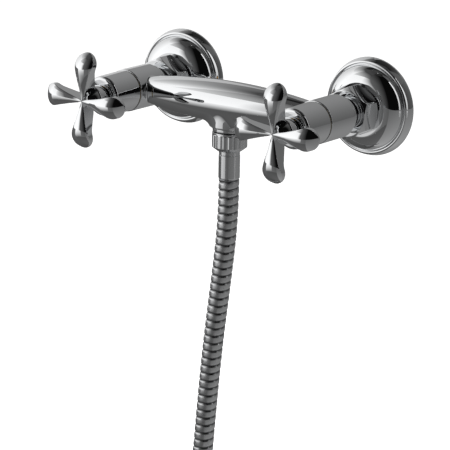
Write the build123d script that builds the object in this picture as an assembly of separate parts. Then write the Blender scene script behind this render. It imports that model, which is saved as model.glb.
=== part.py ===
from build123d import *
import math
import os

os.makedirs("parts", exist_ok=True)

# Wall-mounted shower mixer with two cross handles and a hanging metal hose.
# The origin lies on the wall, midway between the two inlets. X points right, Y into the wall, Z up.
# "Out" is a distance from the wall towards the person using the mixer, along -Y.

# Fits, as gaps on the radius, and how far a cut runs past its surface
thread_gap = 0.05
running_gap = 0.05
slip_gap = 0.3
cut_over = 1.0

# Wall unions
inlet_spacing = 150.0
half_inch_thread = 10.48
three_quarter_thread = 13.22
wall_thread_length = 16.0
wall_thread_chamfer = 0.8
union_bore = 6.0
union_collar_step = 1.32
union_key_flats = 13.0
union_key_depth = 8.0

# Wall plates
plate_radius = 32.0
plate_depth = 15.0
plate_wall = 1.4
plate_rim_height = 6.2
plate_rim_width = 4.2
plate_rim_round = 1.6
plate_crease_drop = 0.9
plate_crown = 17.5
plate_bulge = 1.6

# Union nuts
nut_wall = 1.73
nut_length = 15.6
nut_lip = 3.6
nut_standoff = 0.4
nut_turn = 27.0
nut_chamfer = 2.6
nut_rear_chamfer = 3.0
nut_front_chamfer = 1.9

# Inlet tails, washers and strainers
tail_flange_gap = 1.27
tail_flange = 2.6
tail_neck = 9.8
tail_neck_shown = 5.0
tail_collar_step = 2.12
tail_collar = 3.4
tail_thread = 4.5
inlet_washer = 2.0
strainer_thickness = 0.8
strainer_flange = 1.2
strainer_hole = 0.9
strainer_rows = 2

# Valve cylinders of the body
block_wall = 3.47
block_length = 25.9
block_edge = 0.7
inlet_wall = 5.1
water_bore = 5.0
seal_groove = 1.2

# Mixing bar and outlet boss of the body
bar_from_block_rear = 11.6
bar_middle_radius = 14.0
bar_end_radius = 9.4
bar_bore = 4.8
boss_radius = 12.5
boss_drop = 16.0
boss_blend = 5.0

# Ceramic discs and their seals
disc_radius = 7.2
disc_thickness = 3.0
disc_gap = 0.02
disc_port_inner = 2.2
disc_rim = 1.4
disc_port_angle = 62.0
seat_seal_thickness = 2.4
seat_seal_bore = 5.0
drive_slot = 3.0
drive_depth = 1.2

# Headworks
skirt_wall = 1.55
skirt_standoff = 0.6
window_width = 8.0
headwork_thread = 4.3
headwork_flange_step = 0.57
headwork_flange = 1.9
headwork_hex_step = 1.9
headwork_hex = 4.8
headwork_wall = 3.05
headwork_neck_length = 14.3

# Spindles, their rings and their circlips
spindle_radius = 4.5
spindle_foot = 3.0
spindle_foot_width = 6.0
spindle_play = 0.1
spline_step = 0.6
spline_depth = 0.4
spindle_nose_step = 0.2
spline_teeth = 20
ring_wire = 0.5
ring_groove_width = 1.5
ring_pitch = 4.0
circlip_width = 2.3
circlip_thickness = 0.8
circlip_groove_depth = 0.8
circlip_opening = 4.0

# Cover sleeves
sleeve_length = 23.9
sleeve_standoff = 0.8
sleeve_rim = 1.2
sleeve_taper = 0.55
sleeve_wall = 1.1
sleeve_web = 2.4
sleeve_web_gap = 0.6
sleeve_shoulder = 2.2
sleeve_edge = 0.3

# Cross handles
spigot_wall = 2.45
spigot_gap = 0.9
hub_step = 1.6
hub_standoff = 3.0
hub_length = 6.8
handle_height = 10.6
hot_rest_turn = -3.2
petal_reach = 31.5
petal_tip_radius = 7.2
petal_flank_angle = 108.5
petal_root_reach = 3.2
petal_root_width = 1.35
petal_start = 0.5
petal_rear_knee = 20.0
petal_knee_rise = 5.6
petal_tip_rise = 4.5
petal_edge = 0.5
petal_shoulder_angle = 60.0
heart_radius = 1.2
heart_rise = 0.1
socket_depth = 9.6
handle_screw_radius = 2.0
handle_screw_key = 2.0

# Crowned front of a petal: share of its reach, crown radius across it, height over the hub
petal_sections = [
    (0.01, 1.2, 10.6),
    (0.13, 2.4, 10.8),
    (0.25, 3.7, 11.4),
    (0.38, 5.6, 12.3),
    (0.51, 7.6, 13.0),
    (0.65, 9.4, 13.4),
    (0.76, 10.0, 12.9),
    (0.87, 10.0, 11.0),
    (0.95, 10.0, 8.3),
    (1.005, 10.0, 5.5),
]

# Outlet nipple and non-return valve
nipple_wall = 0.9
nipple_thread = 11.0
nipple_flange_step = 0.72
nipple_flange = 2.3
nipple_end_thread = 7.3
cage_bore = 6.0
cage_wall = 1.55
cage_seat = 1.8
cage_seat_width = 0.9
cage_foot = 1.6
cage_hub = 2.2
cage_arm = 1.4
poppet_gap = 0.8
poppet_head = 1.8
poppet_edge = 0.8
poppet_stem = 1.2
poppet_stem_inset = 0.4
poppet_travel = 3.5
spring_radius = 3.2
spring_wire = 0.35
spring_turns = 5
spring_spare = 3.2

# Hose nut, insert and ferrule under the mixer
hose_nut_wall = 0.97
hose_nut_length = 12.6
hose_nut_gap = 0.5
hose_nut_taper = 2.7
hose_nut_foot_wall = 1.2
hose_nut_edge = 0.7
hose_nut_flutes = 18
flute_depth = 0.45
flute_radius = 0.9
flute_margin = 1.6
washer_thickness = 2.0
washer_bore = 5.5
insert_flange_gap = 1.23
insert_flange = 1.4
insert_neck = 6.4
barb_gap = 0.6
barb_wall = 1.0
ferrule_wall = 0.55
ferrule_length = 18.8
ferrule_cover = 2.5
ferrule_edge = 0.8

# Hose
hose_radius = 6.75
hose_bore = 5.2
rib_pitch = 5.3
rib_depth = 0.6
rib_groove_share = 0.12
rib_flank_share = 0.16
coil_radius = 81.0
coil_turns = 2
coil_pitch = 15.4
hose_tail = 23.0
tie_thickness = 1.2
tie_width = 12.0
tie_gap = 0.6
tie_angle = 165.0

# Cone nut at the free end
end_ferrule_length = 16.0
cone_nut_length = 23.0
cone_nut_neck_wall = 2.1
cone_nut_mouth_wall = 1.37
cone_nut_thread = 8.6
cone_nut_thread_end = 0.4
cone_nut_seat_gap = 0.3
cone_nut_grip = 8.0
cone_nut_edge = 0.6
cone_nut_flutes = 12

# The hose's hanging route: X and Z offsets from the ferrule's lower end, chosen to match the photograph
hose_route = [
    (0.0, 0.0),
    (0.0, -26.0),
    (-4.6, -66.0),
    (-10.8, -112.0),
    (-15.2, -158.0),
    (-19.0, -204.0),
    (-27.5, -246.0),
    (-44.0, -282.0),
    (-60.0, -308.0),
]

# Places along the valve axes, all as distances out from the wall
inlet_x = inlet_spacing / 2
nut_rear = plate_depth + nut_standoff
nut_front = nut_rear + nut_length
tail_flange_front = nut_front - nut_lip
tail_rear = tail_flange_front - tail_flange
union_front = tail_rear - inlet_washer
collar_rear = nut_front + tail_neck_shown
block_rear = collar_rear + tail_collar
block_front = block_rear + block_length
tail_front = block_rear + tail_thread
seat_out = block_rear + tail_thread + inlet_wall
bar_out = block_rear + bar_from_block_rear
fixed_disc_rear = seat_out + seat_seal_thickness
turning_disc_rear = fixed_disc_rear + disc_thickness + disc_gap
foot_rear = turning_disc_rear + disc_thickness + spindle_play
foot_front = foot_rear + spindle_foot
headwork_hex_rear = block_front + headwork_flange
neck_rear = headwork_hex_rear + headwork_hex
neck_front = neck_rear + headwork_neck_length
sleeve_rear = block_front + sleeve_standoff
sleeve_front = sleeve_rear + sleeve_length
web_rear = sleeve_front - sleeve_web
circlip_rear = neck_front + spindle_play
spigot_rear = web_rear + spigot_gap
hub_rear = sleeve_front + hub_standoff
hub_front = hub_rear + hub_length
spindle_front = spigot_rear + socket_depth

# Radii that follow from a mating piece: inlets
union_collar = half_inch_thread + union_collar_step
nut_bore = three_quarter_thread + thread_gap
nut_flats = 2 * (nut_bore + nut_wall)
tail_flange_radius = nut_bore - tail_flange_gap
tail_collar_radius = half_inch_thread + tail_collar_step

# Radii of the valves
chamber_radius = half_inch_thread + thread_gap
block_radius = chamber_radius + block_wall
disc_bore = disc_radius + running_gap
disc_port_outer = disc_radius - disc_rim
skirt_radius = disc_bore + skirt_wall
spindle_foot_radius = disc_radius - slip_gap
headwork_bore = spindle_radius + running_gap
headwork_neck = headwork_bore + headwork_wall
headwork_flats = 2 * (headwork_neck + headwork_hex_step)
headwork_flange_radius = chamber_radius + seal_groove + headwork_flange_step
circlip_groove = spindle_radius - circlip_groove_depth
circlip_radius = circlip_groove + circlip_width
spindle_nose_radius = spindle_radius - spindle_nose_step
spline_radius = spindle_radius - spline_step

# Radii of the handles and sleeves
spigot_radius = spline_radius + running_gap + spigot_wall
hub_radius = spigot_radius + hub_step
sleeve_web_hole = spigot_radius + sleeve_web_gap
sleeve_rear_radius = headwork_flange_radius + thread_gap + sleeve_rim
sleeve_front_radius = sleeve_rear_radius - sleeve_taper
sleeve_inner_radius = sleeve_front_radius - sleeve_wall

# Radii of the outlet and the hose ends
cage_radius = cage_bore + cage_wall
poppet_radius = cage_bore - poppet_gap
cage_seat_bore = poppet_radius - cage_seat_width
nipple_bore = cage_bore
nipple_thread_radius = cage_radius + thread_gap + nipple_wall
nipple_flange_radius = half_inch_thread + nipple_flange_step
hose_nut_bore = half_inch_thread + thread_gap
hose_nut_radius = hose_nut_bore + hose_nut_wall
insert_flange_radius = hose_nut_bore - insert_flange_gap
insert_clearance = insert_neck + slip_gap
hose_nut_foot_radius = insert_clearance + hose_nut_foot_wall
ferrule_radius = insert_neck + thread_gap + ferrule_wall
barb_radius = hose_bore - barb_gap
insert_bore = barb_radius - barb_wall
cone_nut_top_radius = insert_clearance + cone_nut_neck_wall
cone_nut_mouth_radius = hose_nut_bore + cone_nut_mouth_wall
cone_nut_seat_radius = insert_flange_radius + slip_gap + cone_nut_seat_gap

# Heights of the outlet pieces
nipple_top = -boss_drop + nipple_thread
nipple_thread_top = -boss_drop - nipple_flange
nipple_bottom = nipple_thread_top - nipple_end_thread
hose_nut_top = nipple_thread_top - hose_nut_gap
hose_nut_bottom = hose_nut_top - hose_nut_length
insert_top = nipple_bottom - washer_thickness
spring_closed = 2 * spring_wire * spring_turns
poppet_room = spindle_play + poppet_head + poppet_travel + spring_closed + spring_spare
cage_length = cage_seat + poppet_room + cage_foot
cage_top = nipple_bottom + cage_length + spindle_play
cage_bottom = cage_top - cage_length
poppet_top = cage_top - cage_seat - spindle_play
ferrule_top = hose_nut_bottom - spindle_play
hose_top = ferrule_top - ferrule_length


def out(distance):
    return -distance


def valve_axis(x):
    return Axis((x, 0, 0), (0, -1, 0))


def lathe(x, points):
    # Turned about a valve axis, from (radius, out) points.
    outline = Polyline(*[(x + radius, out(along), 0) for radius, along in points], close=True)
    return revolve(make_face(outline), axis=valve_axis(x))


def tube(x, inner, outer, start, end):
    # A plain ring about a valve axis between two distances out.
    return lathe(x, [(inner, start), (outer, start), (outer, end), (inner, end)])


def rod(x, radius, start, end):
    return lathe(x, [(0, start), (radius, start), (radius, end), (0, end)])


def upright(points, x=0.0, y=None):
    # Turned about a vertical axis, from (radius, height) points.
    centre_y = out(bar_out) if y is None else y
    outline = Polyline(*[(x + radius, centre_y, height) for radius, height in points], close=True)
    return revolve(make_face(outline), axis=Axis((x, centre_y, 0), (0, 0, 1)))


def rounded_edge(x, radius, front, size):
    # Quarter round on a front edge about a valve axis, from its side to its face.
    near = size * (1 - math.sqrt(0.5))
    return ThreePointArc(
        (x + radius, out(front - size)),
        (x + radius - near, out(front - near)),
        (x + radius - size, out(front)),
    )


def hanging_rod(radius, length):
    # An upright cylinder that hangs down from its own origin.
    return Cylinder(radius, length, align=(Align.CENTER, Align.CENTER, Align.MAX))


def facing_out(x, distance, z=0.0):
    # A drawing plane square to the valve axes: its X is to the right, its Y is up.
    return Plane(origin=(x, out(distance), z), x_dir=(1, 0, 0), z_dir=(0, -1, 0))


def prism(sketch, x, start, end):
    # A sketch in the (X, Z) plane carried between two distances out.
    return extrude(facing_out(x, start) * sketch, amount=end - start)


def hexagon(flats, turn):
    return RegularPolygon(flats / 2, 6, major_radius=False, rotation=turn)


def sector(inner, outer, angle, turn):
    # A ring sector as two arcs and two straight sides, centred on the angle "turn".
    low = math.radians(turn - angle / 2)
    mid = math.radians(turn)
    high = math.radians(turn + angle / 2)

    def at(radius, angle_at):
        return (radius * math.cos(angle_at), radius * math.sin(angle_at))

    outline = Curve() + [
        ThreePointArc(at(inner, low), at(inner, mid), at(inner, high)),
        Line(at(inner, high), at(outer, high)),
        ThreePointArc(at(outer, high), at(outer, mid), at(outer, low)),
        Line(at(outer, low), at(inner, low)),
    ]
    return make_face(outline)


def save(name, shape):
    shape.label = name
    export_step(shape, f"parts/{name}.step")


# Inlet side


def make_wall_union(x):
    # Brass connector: G 1/2 into the wall, a collar under the plate, G 3/4 in front with a key socket.
    collar_front = plate_depth - plate_wall - nut_standoff
    body = lathe(x, [
        (union_bore, -wall_thread_length),
        (half_inch_thread - wall_thread_chamfer, -wall_thread_length),
        (half_inch_thread, -wall_thread_length + wall_thread_chamfer),
        (half_inch_thread, 0),
        (union_collar, 0),
        (union_collar, collar_front / 2),
        (three_quarter_thread, collar_front / 2),
        (three_quarter_thread, union_front),
        (union_bore, union_front),
    ])
    key = hexagon(union_key_flats, 0)
    return body - prism(key, x, union_front - union_key_depth, union_front)


def make_wall_plate(x):
    # Domed shell: a rolled rim on the wall, a crease, then a dome that rises to the union nut.
    hole = three_quarter_thread + slip_gap
    crease = plate_radius - plate_rim_width
    crease_out = plate_rim_height - plate_crease_drop
    middle = ((crease + plate_crown) / 2 + plate_bulge, (crease_out + plate_depth) / 2 + plate_bulge)

    def skin(inset, base):
        # Outline from the wall to the crown, moved in by the wall's thickness. The dome leans at 45 degrees.
        top = plate_depth - inset
        rim = plate_radius - inset
        rise = plate_rim_height - inset
        slant = inset * math.sqrt(0.5)
        crown = plate_crown - inset * math.tan(math.pi / 8)
        roll = rounded_edge(x, rim, rise, plate_rim_round - inset)
        return [
            Line((x + hole, out(base)), (x + rim, out(base))),
            Line((x + rim, out(base)), roll @ 0),
            roll,
            Line(roll @ 1, (x + crease - inset, out(crease_out - inset))),
            ThreePointArc(
                (x + crease - inset, out(crease_out - inset)),
                (x + middle[0] - slant, out(middle[1] - slant)),
                (x + crown, out(top)),
            ),
            Line((x + crown, out(top)), (x + hole, out(top))),
            Line((x + hole, out(top)), (x + hole, out(base))),
        ]

    outer = revolve(make_face(Curve() + skin(0, 0)), axis=valve_axis(x))
    inner = revolve(make_face(Curve() + skin(plate_wall, -cut_over)), axis=valve_axis(x))
    return outer - inner


def make_union_nut(x):
    # Hexagon nut with rounded ends, threaded from the rear, with a lip that pulls on the tail's flange.
    corner = nut_flats / math.sqrt(3)
    end_radius = corner - nut_chamfer
    nut = prism(hexagon(nut_flats, nut_turn), x, nut_rear, nut_front)
    round_ends = lathe(x, [
        (0, nut_rear),
        (end_radius, nut_rear),
        (corner, nut_rear + nut_rear_chamfer),
        (corner, nut_front - nut_front_chamfer),
        (end_radius, nut_front),
        (0, nut_front),
    ])
    thread = rod(x, nut_bore, nut_rear, tail_flange_front)
    lip = rod(x, tail_neck + slip_gap, tail_flange_front, nut_front)
    return (nut & round_ends) - thread - lip


def make_inlet_washer(x):
    # Rubber ring between the wall union and the tail, stepped to hold the strainer.
    ring = tube(x, union_bore, tail_flange_radius, union_front, tail_rear)
    return ring - rod(x, union_bore + strainer_flange, tail_rear - strainer_thickness, tail_rear)


def make_strainer(x):
    # Perforated disc in the washer's step: rings of holes round a middle one.
    rear = tail_rear - strainer_thickness
    disc = rod(x, union_bore + strainer_flange - running_gap, rear, tail_rear)
    spots = [(0.0, 0.0)]
    for row in range(1, strainer_rows + 1):
        reach = row * union_bore / (strainer_rows + 0.6)
        for number in range(6 * row):
            turn = 2 * math.pi * number / (6 * row)
            spots.append((reach * math.cos(turn), reach * math.sin(turn)))
    holes = Sketch() + [Pos(px, pz) * Circle(strainer_hole) for px, pz in spots]
    return disc - prism(holes, x, rear, tail_rear)


def make_inlet_tail(x):
    # Brass tail held by the union nut: flange, neck, a collar that shows, and a thread in the body.
    return lathe(x, [
        (union_bore, tail_rear),
        (tail_flange_radius, tail_rear),
        (tail_flange_radius, tail_flange_front),
        (tail_neck, tail_flange_front),
        (tail_neck, collar_rear),
        (tail_collar_radius, collar_rear),
        (tail_collar_radius, block_rear),
        (half_inch_thread, block_rear),
        (half_inch_thread, tail_front),
        (union_bore, tail_front),
    ])


# Body


def make_mixer_body():
    # One casting: a barrel-shaped bar, a valve cylinder at each end and the outlet boss below.
    face_x = inlet_x - block_radius
    sag = bar_middle_radius - bar_end_radius
    sweep_radius = (face_x ** 2 + sag ** 2) / (2 * sag)
    inner_x = inlet_x - bar_bore

    def bar_radius(x):
        return bar_middle_radius - sweep_radius + math.sqrt(sweep_radius ** 2 - x ** 2)

    centre = out(bar_out)
    end = bar_radius(inner_x)
    outline = Curve() + [
        Line((-inner_x, centre), (-inner_x, centre + end)),
        ThreePointArc((-inner_x, centre + end), (0, centre + bar_middle_radius), (inner_x, centre + end)),
        Line((inner_x, centre + end), (inner_x, centre)),
        Line((inner_x, centre), (-inner_x, centre)),
    ]
    body = revolve(make_face(outline), axis=Axis((0, centre, 0), (1, 0, 0)))
    body += Pos(0, centre, 0) * hanging_rod(boss_radius, boss_drop)
    joint = [
        edge
        for edge in body.edges()
        if -boss_drop + cut_over < edge.center().Z < -cut_over and abs(edge.center().X) < boss_radius
        and edge.geom_type != GeomType.LINE
    ]
    body = fillet(joint, boss_blend)

    for x in (-inlet_x, inlet_x):
        body += chamfered_block(x)
        # Rear thread, water way, valve chamber with the seal's groove at its mouth.
        body -= rod(x, chamber_radius, block_rear, tail_front)
        body -= rod(x, water_bore, tail_front, seat_out)
        body -= rod(x, chamber_radius, seat_out, block_front)
        body -= rod(x, chamber_radius + seal_groove, block_front - seal_groove, block_front)
    bore_length = 2 * (inlet_x - chamber_radius + cut_over)
    body -= Pos(0, centre, 0) * Rot(0, 90, 0) * Cylinder(bar_bore, bore_length)
    body -= upright([
        (0, 0),
        (nipple_bore, 0),
        (nipple_bore, nipple_top),
        (nipple_thread_radius + thread_gap, nipple_top),
        (nipple_thread_radius + thread_gap, -boss_drop),
        (0, -boss_drop),
    ])
    return body


def chamfered_block(x):
    return lathe(x, [
        (0, block_rear),
        (block_radius - block_edge, block_rear),
        (block_radius, block_rear + block_edge),
        (block_radius, block_front - block_edge),
        (block_radius - block_edge, block_front),
        (0, block_front),
    ])


# Valves


def make_seat_seal(x):
    return tube(x, seat_seal_bore, disc_radius - running_gap, seat_out, fixed_disc_rear)


def make_disc(x, rear, turn):
    # Ceramic disc with two sector-shaped ports.
    disc = rod(x, disc_radius, rear, rear + disc_thickness)
    ports = Sketch() + [
        sector(disc_port_inner, disc_port_outer, disc_port_angle, turn + half) for half in (0, 180)
    ]
    return disc - prism(ports, x, rear, rear + disc_thickness)


def make_turning_disc(x):
    # The upper disc: its ports lie across the lower ones when shut, and a slot takes the spindle.
    disc = make_disc(x, turning_disc_rear, 90)
    front = turning_disc_rear + disc_thickness
    slot = Rectangle(2 * (disc_radius + cut_over), drive_slot)
    return disc - prism(slot, x, front - drive_depth, front)


def make_headwork(x):
    # Brass valve insert: a skirt round the discs, a thread, a flange, a hexagon and a neck.
    skirt_rear = seat_out + skirt_standoff
    thread_rear = block_front - headwork_thread
    roof = foot_front + spindle_play
    shell = lathe(x, [
        (disc_bore, skirt_rear),
        (skirt_radius, skirt_rear),
        (skirt_radius, thread_rear),
        (half_inch_thread, thread_rear),
        (half_inch_thread, block_front),
        (headwork_flange_radius, block_front),
        (headwork_flange_radius, headwork_hex_rear),
        (headwork_neck, headwork_hex_rear),
        (headwork_neck, neck_front),
        (headwork_bore, neck_front),
        (headwork_bore, roof),
        (disc_bore, roof),
    ])
    hexagon_solid = prism(hexagon(headwork_flats, 0), x, headwork_hex_rear, neck_rear)
    shell += hexagon_solid - rod(x, headwork_neck, headwork_hex_rear, neck_rear)
    window = prism(Rectangle(window_width, 3 * skirt_radius), x, foot_rear, thread_rear)
    return shell - window


def make_headwork_seal(x):
    # O-ring in the body's mouth, under the headwork's flange.
    wire = seal_groove / 2 - running_gap
    centre = half_inch_thread + 2 * thread_gap + wire
    spot = facing_out(x, block_front - seal_groove / 2)
    return spot * Torus(centre, wire)


def make_spindle(x):
    # Brass spindle: a tongue in the disc's slot, a foot, a grooved shaft and a splined end.
    tongue_rear = foot_rear - drive_depth
    shoulder = spigot_rear - spindle_play
    groove_front = circlip_rear + circlip_thickness + spindle_play
    shaft = lathe(x, [
        (0, foot_front),
        (spindle_radius, foot_front),
        (spindle_radius, neck_front),
        (circlip_groove, neck_front),
        (circlip_groove, groove_front),
        (spindle_nose_radius, groove_front),
        (spindle_nose_radius, shoulder),
        (0, shoulder),
    ])
    for along in ring_places():
        width = ring_groove_width / 2
        groove = spindle_radius - 2 * ring_wire - running_gap
        shaft -= tube(x, groove, spindle_radius + cut_over, along - width, along + width)
    foot = Circle(spindle_foot_radius) & Rectangle(3 * spindle_foot_radius, spindle_foot_width)
    shaft += prism(foot, x, foot_rear, foot_front)
    tongue = Circle(spindle_foot_radius) & Rectangle(3 * spindle_foot_radius, drive_slot - 2 * running_gap)
    shaft += prism(tongue, x, tongue_rear, foot_rear)
    shaft += prism(spline(0), x, shoulder, spindle_front)
    return shaft


def ring_places():
    # Where the spindle's two sealing rings sit, as distances out.
    middle = (neck_rear + neck_front) / 2
    return [middle - ring_pitch / 2, middle + ring_pitch / 2]


def spline(gap):
    # Toothed section of the spindle's end, grown by a gap for the handle's socket.
    points = []
    for number in range(2 * spline_teeth):
        radius = spline_radius + gap - (spline_depth if number % 2 else 0)
        turn = math.pi * number / spline_teeth
        points.append((radius * math.cos(turn), radius * math.sin(turn)))
    return make_face(Polyline(*points, close=True))


def make_spindle_seals(x):
    centre = spindle_radius - ring_wire - running_gap / 2
    return Compound(children=[facing_out(x, along) * Torus(centre, ring_wire) for along in ring_places()])


def make_circlip(x):
    ring = Circle(circlip_radius) - Circle(circlip_groove + running_gap)
    mouth = Pos(circlip_radius, 0) * Rectangle(2 * circlip_radius, circlip_opening)
    return prism(ring - mouth, x, circlip_rear, circlip_rear + circlip_thickness)


def make_cover_sleeve(x):
    # Tapered sleeve over the headwork: a step on its flange, a rounded shoulder and a front web.
    shoulder = rounded_edge(x, sleeve_front_radius, sleeve_front, sleeve_shoulder)
    rest = Polyline(
        shoulder @ 1,
        (x + sleeve_web_hole, out(sleeve_front)),
        (x + sleeve_web_hole, out(sleeve_rear)),
        (x + sleeve_rear_radius - sleeve_edge, out(sleeve_rear)),
        (x + sleeve_rear_radius, out(sleeve_rear + sleeve_edge)),
        shoulder @ 0,
    )
    sleeve = revolve(make_face(Curve() + [shoulder, rest]), axis=valve_axis(x))
    sleeve -= rod(x, headwork_flange_radius + thread_gap, sleeve_rear, headwork_hex_rear)
    return sleeve - rod(x, sleeve_inner_radius, headwork_hex_rear, web_rear)


# Handles


def petal_outline():
    # One teardrop petal along +X: a round tip, flanks tangent to it, and a root that narrows inwards.
    centre = petal_reach - petal_tip_radius
    angle = math.radians(petal_flank_angle)
    join = (centre + petal_tip_radius * math.cos(angle), petal_tip_radius * math.sin(angle))
    heading = (-math.sin(angle), math.cos(angle))
    upper = TangentArc(join, (petal_root_reach, petal_root_width), tangent=heading)
    tip = ThreePointArc(join, (petal_reach, 0), (join[0], -join[1]))
    start_width = petal_start * petal_root_width / petal_root_reach
    root = Polyline(
        (petal_root_reach, petal_root_width),
        (petal_start, start_width),
        (petal_start, -start_width),
        (petal_root_reach, -petal_root_width),
    )
    return make_face(Curve() + [upper, mirror(upper, Plane.XZ), tip, root])


def petal_roof():
    # The space under a petal's crowned front, through sections whose tops are arcs of the crown's radius.
    shoulder = math.radians(petal_shoulder_angle)
    sections = []
    for share, crown, height in petal_sections:
        half = crown * math.sin(shoulder)
        side = height - crown * (1 - math.cos(shoulder))
        top = ThreePointArc((-half, side), (0, height), (half, side))
        below = Polyline((half, side), (half, -hub_length), (-half, -hub_length), (-half, side))
        across = Plane(origin=(share * petal_reach, 0, 0), x_dir=(0, 1, 0), z_dir=(1, 0, 0))
        sections.append(across * make_face(Curve() + [top, below]))
    return loft(sections)


def petal_underside():
    # The ring that is cut away behind the petals: a cone off the hub up to a knee, then a slight fall to the tips.
    beyond = petal_reach + cut_over
    outline = Polyline(
        (hub_radius, 0),
        (petal_rear_knee, petal_knee_rise),
        (beyond, petal_tip_rise),
        (beyond, -cut_over),
        (hub_radius, -cut_over),
        close=True,
    )
    return revolve(Plane.XZ * make_face(outline), axis=Axis.Z)


def make_handle(x):
    # Four petals round a cone on a hub, with a spigot behind that carries the splined socket.
    petal = extrude(petal_outline(), amount=2 * handle_height) & petal_roof()
    cone_height = handle_height + heart_rise
    star = Pos(0, 0, cone_height / 2) * Cone(hub_radius, heart_radius, cone_height)
    for quarter in range(4):
        star += Rot(0, 0, 90 * quarter) * petal
    handle = facing_out(x, hub_front) * (star - petal_underside())
    handle += lathe(x, [
        (0, spigot_rear),
        (spigot_radius, spigot_rear),
        (spigot_radius, hub_rear),
        (hub_radius - petal_edge, hub_rear),
        (hub_radius, hub_rear + petal_edge),
        (hub_radius, hub_front),
        (0, hub_front),
    ])
    handle -= prism(spline(running_gap), x, spigot_rear, spindle_front + spindle_play)
    screw_hole = hanging_rod(handle_screw_radius + running_gap, hub_radius + cut_over)
    return handle - Pos(x, out(screw_out()), 0) * screw_hole


def screw_out():
    return (hub_rear + hub_front) / 2


def make_handle_screw(x):
    # Grub screw in the underside of the hub, with a hexagon key hole.
    top = -spline_radius - running_gap
    bottom = -hub_radius + petal_edge
    screw = Pos(x, out(screw_out()), top) * hanging_rod(handle_screw_radius, top - bottom)
    key_depth = (top - bottom) / 2
    key = extrude(Pos(x, out(screw_out()), bottom) * hexagon(handle_screw_key, 0), amount=key_depth)
    return screw - key


# Outlet


def make_outlet_nipple():
    bore = cage_radius + thread_gap
    return upright([
        (nipple_bore, nipple_top),
        (nipple_thread_radius, nipple_top),
        (nipple_thread_radius, -boss_drop),
        (nipple_flange_radius, -boss_drop),
        (nipple_flange_radius, nipple_thread_top),
        (half_inch_thread, nipple_thread_top),
        (half_inch_thread, nipple_bottom),
        (bore, nipple_bottom),
        (bore, cage_top + spindle_play),
        (nipple_bore, cage_top + spindle_play),
    ])


def make_check_valve_cage():
    # Plastic cage: a seat at the top, a wall, and a three-armed foot that guides the poppet's stem.
    cage = upright([
        (cage_seat_bore, cage_top),
        (cage_radius, cage_top),
        (cage_radius, cage_bottom),
        (cage_bore, cage_bottom),
        (cage_bore, cage_top - cage_seat),
        (cage_seat_bore, cage_top - cage_seat),
    ])
    foot = Circle(cage_hub)
    arm_reach = (cage_bore + cage_radius) / 2
    for turn in (0, 120, 240):
        foot += Rot(0, 0, turn) * Pos(arm_reach / 2, 0) * Rectangle(arm_reach, cage_arm)
    foot -= Circle(poppet_stem + running_gap)
    return cage + extrude(Pos(0, out(bar_out), cage_bottom) * foot, amount=cage_foot)


def make_poppet():
    # Disc with a guide stem, which closes upwards against the cage's seat.
    stem_bottom = cage_bottom + poppet_stem_inset
    return upright([
        (0, poppet_top),
        (poppet_radius - poppet_edge, poppet_top),
        (poppet_radius, poppet_top - poppet_edge),
        (poppet_radius, poppet_top - poppet_head),
        (poppet_stem, poppet_top - poppet_head),
        (poppet_stem, stem_bottom),
        (0, stem_bottom),
    ])


def biarc(start, heading, end, end_heading):
    # Two arcs that run smoothly from one point and heading to another.
    span = end - start
    both = heading + end_heading
    spread = 2 * (1 - heading.dot(end_heading))
    lean = span.dot(both)
    reach = (math.sqrt(lean ** 2 + spread * span.dot(span)) - lean) / spread
    first = start + heading * reach
    second = end - end_heading * reach
    middle = (first + second) * 0.5
    return [
        Edge.make_tangent_arc(start, heading, middle),
        Edge.make_tangent_arc(middle, (second - first).normalized(), end),
    ]


def make_spring():
    # Coil spring between the poppet's head and the cage's foot, wound in quarter turns.
    top = poppet_top - poppet_head - spring_wire
    bottom = cage_bottom + cage_foot + spring_wire
    steps = 4 * spring_turns
    drop = (top - bottom) / steps

    def place(step):
        turn = math.pi / 2 * step
        across = spring_radius * math.cos(turn)
        along = spring_radius * math.sin(turn)
        heading = Vector(-along, across, -drop / (math.pi / 2))
        return Vector(across, out(bar_out) + along, top - drop * step), heading.normalized()

    edges = []
    for step in range(steps):
        edges += biarc(*place(step), *place(step + 1))
    path = Wire(edges)
    return sweep(Plane(origin=path @ 0, z_dir=path % 0) * Circle(spring_wire), path=path)


def make_washer(top, x=0.0, y=None):
    radius = insert_flange_radius + slip_gap
    return upright([
        (washer_bore, top),
        (radius, top),
        (radius, top - washer_thickness),
        (washer_bore, top - washer_thickness),
    ], x, y)


def flutes(count, radius, depth, x, y, top, bottom):
    # Shallow grip grooves round a nut.
    grooves = Part()
    reach = radius - depth + flute_radius
    for number in range(count):
        turn = 2 * math.pi * number / count
        spot = (x + reach * math.cos(turn), y + reach * math.sin(turn), top)
        grooves += Pos(*spot) * hanging_rod(flute_radius, top - bottom)
    return grooves


def make_hose_nut():
    # Fluted nut: a thread from above, a lip below that holds the insert, and a tapered foot.
    nut = upright([
        (hose_nut_bore, hose_nut_top),
        (hose_nut_radius - hose_nut_edge, hose_nut_top),
        (hose_nut_radius, hose_nut_top - hose_nut_edge),
        (hose_nut_radius, hose_nut_bottom + hose_nut_taper),
        (hose_nut_foot_radius, hose_nut_bottom),
        (insert_clearance, hose_nut_bottom),
        (insert_clearance, insert_top - insert_flange),
        (hose_nut_bore, insert_top - insert_flange),
    ])
    grooves = flutes(
        hose_nut_flutes, hose_nut_radius, flute_depth, 0, out(bar_out),
        hose_nut_top - flute_margin, hose_nut_bottom + hose_nut_taper,
    )
    return nut - grooves


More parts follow.
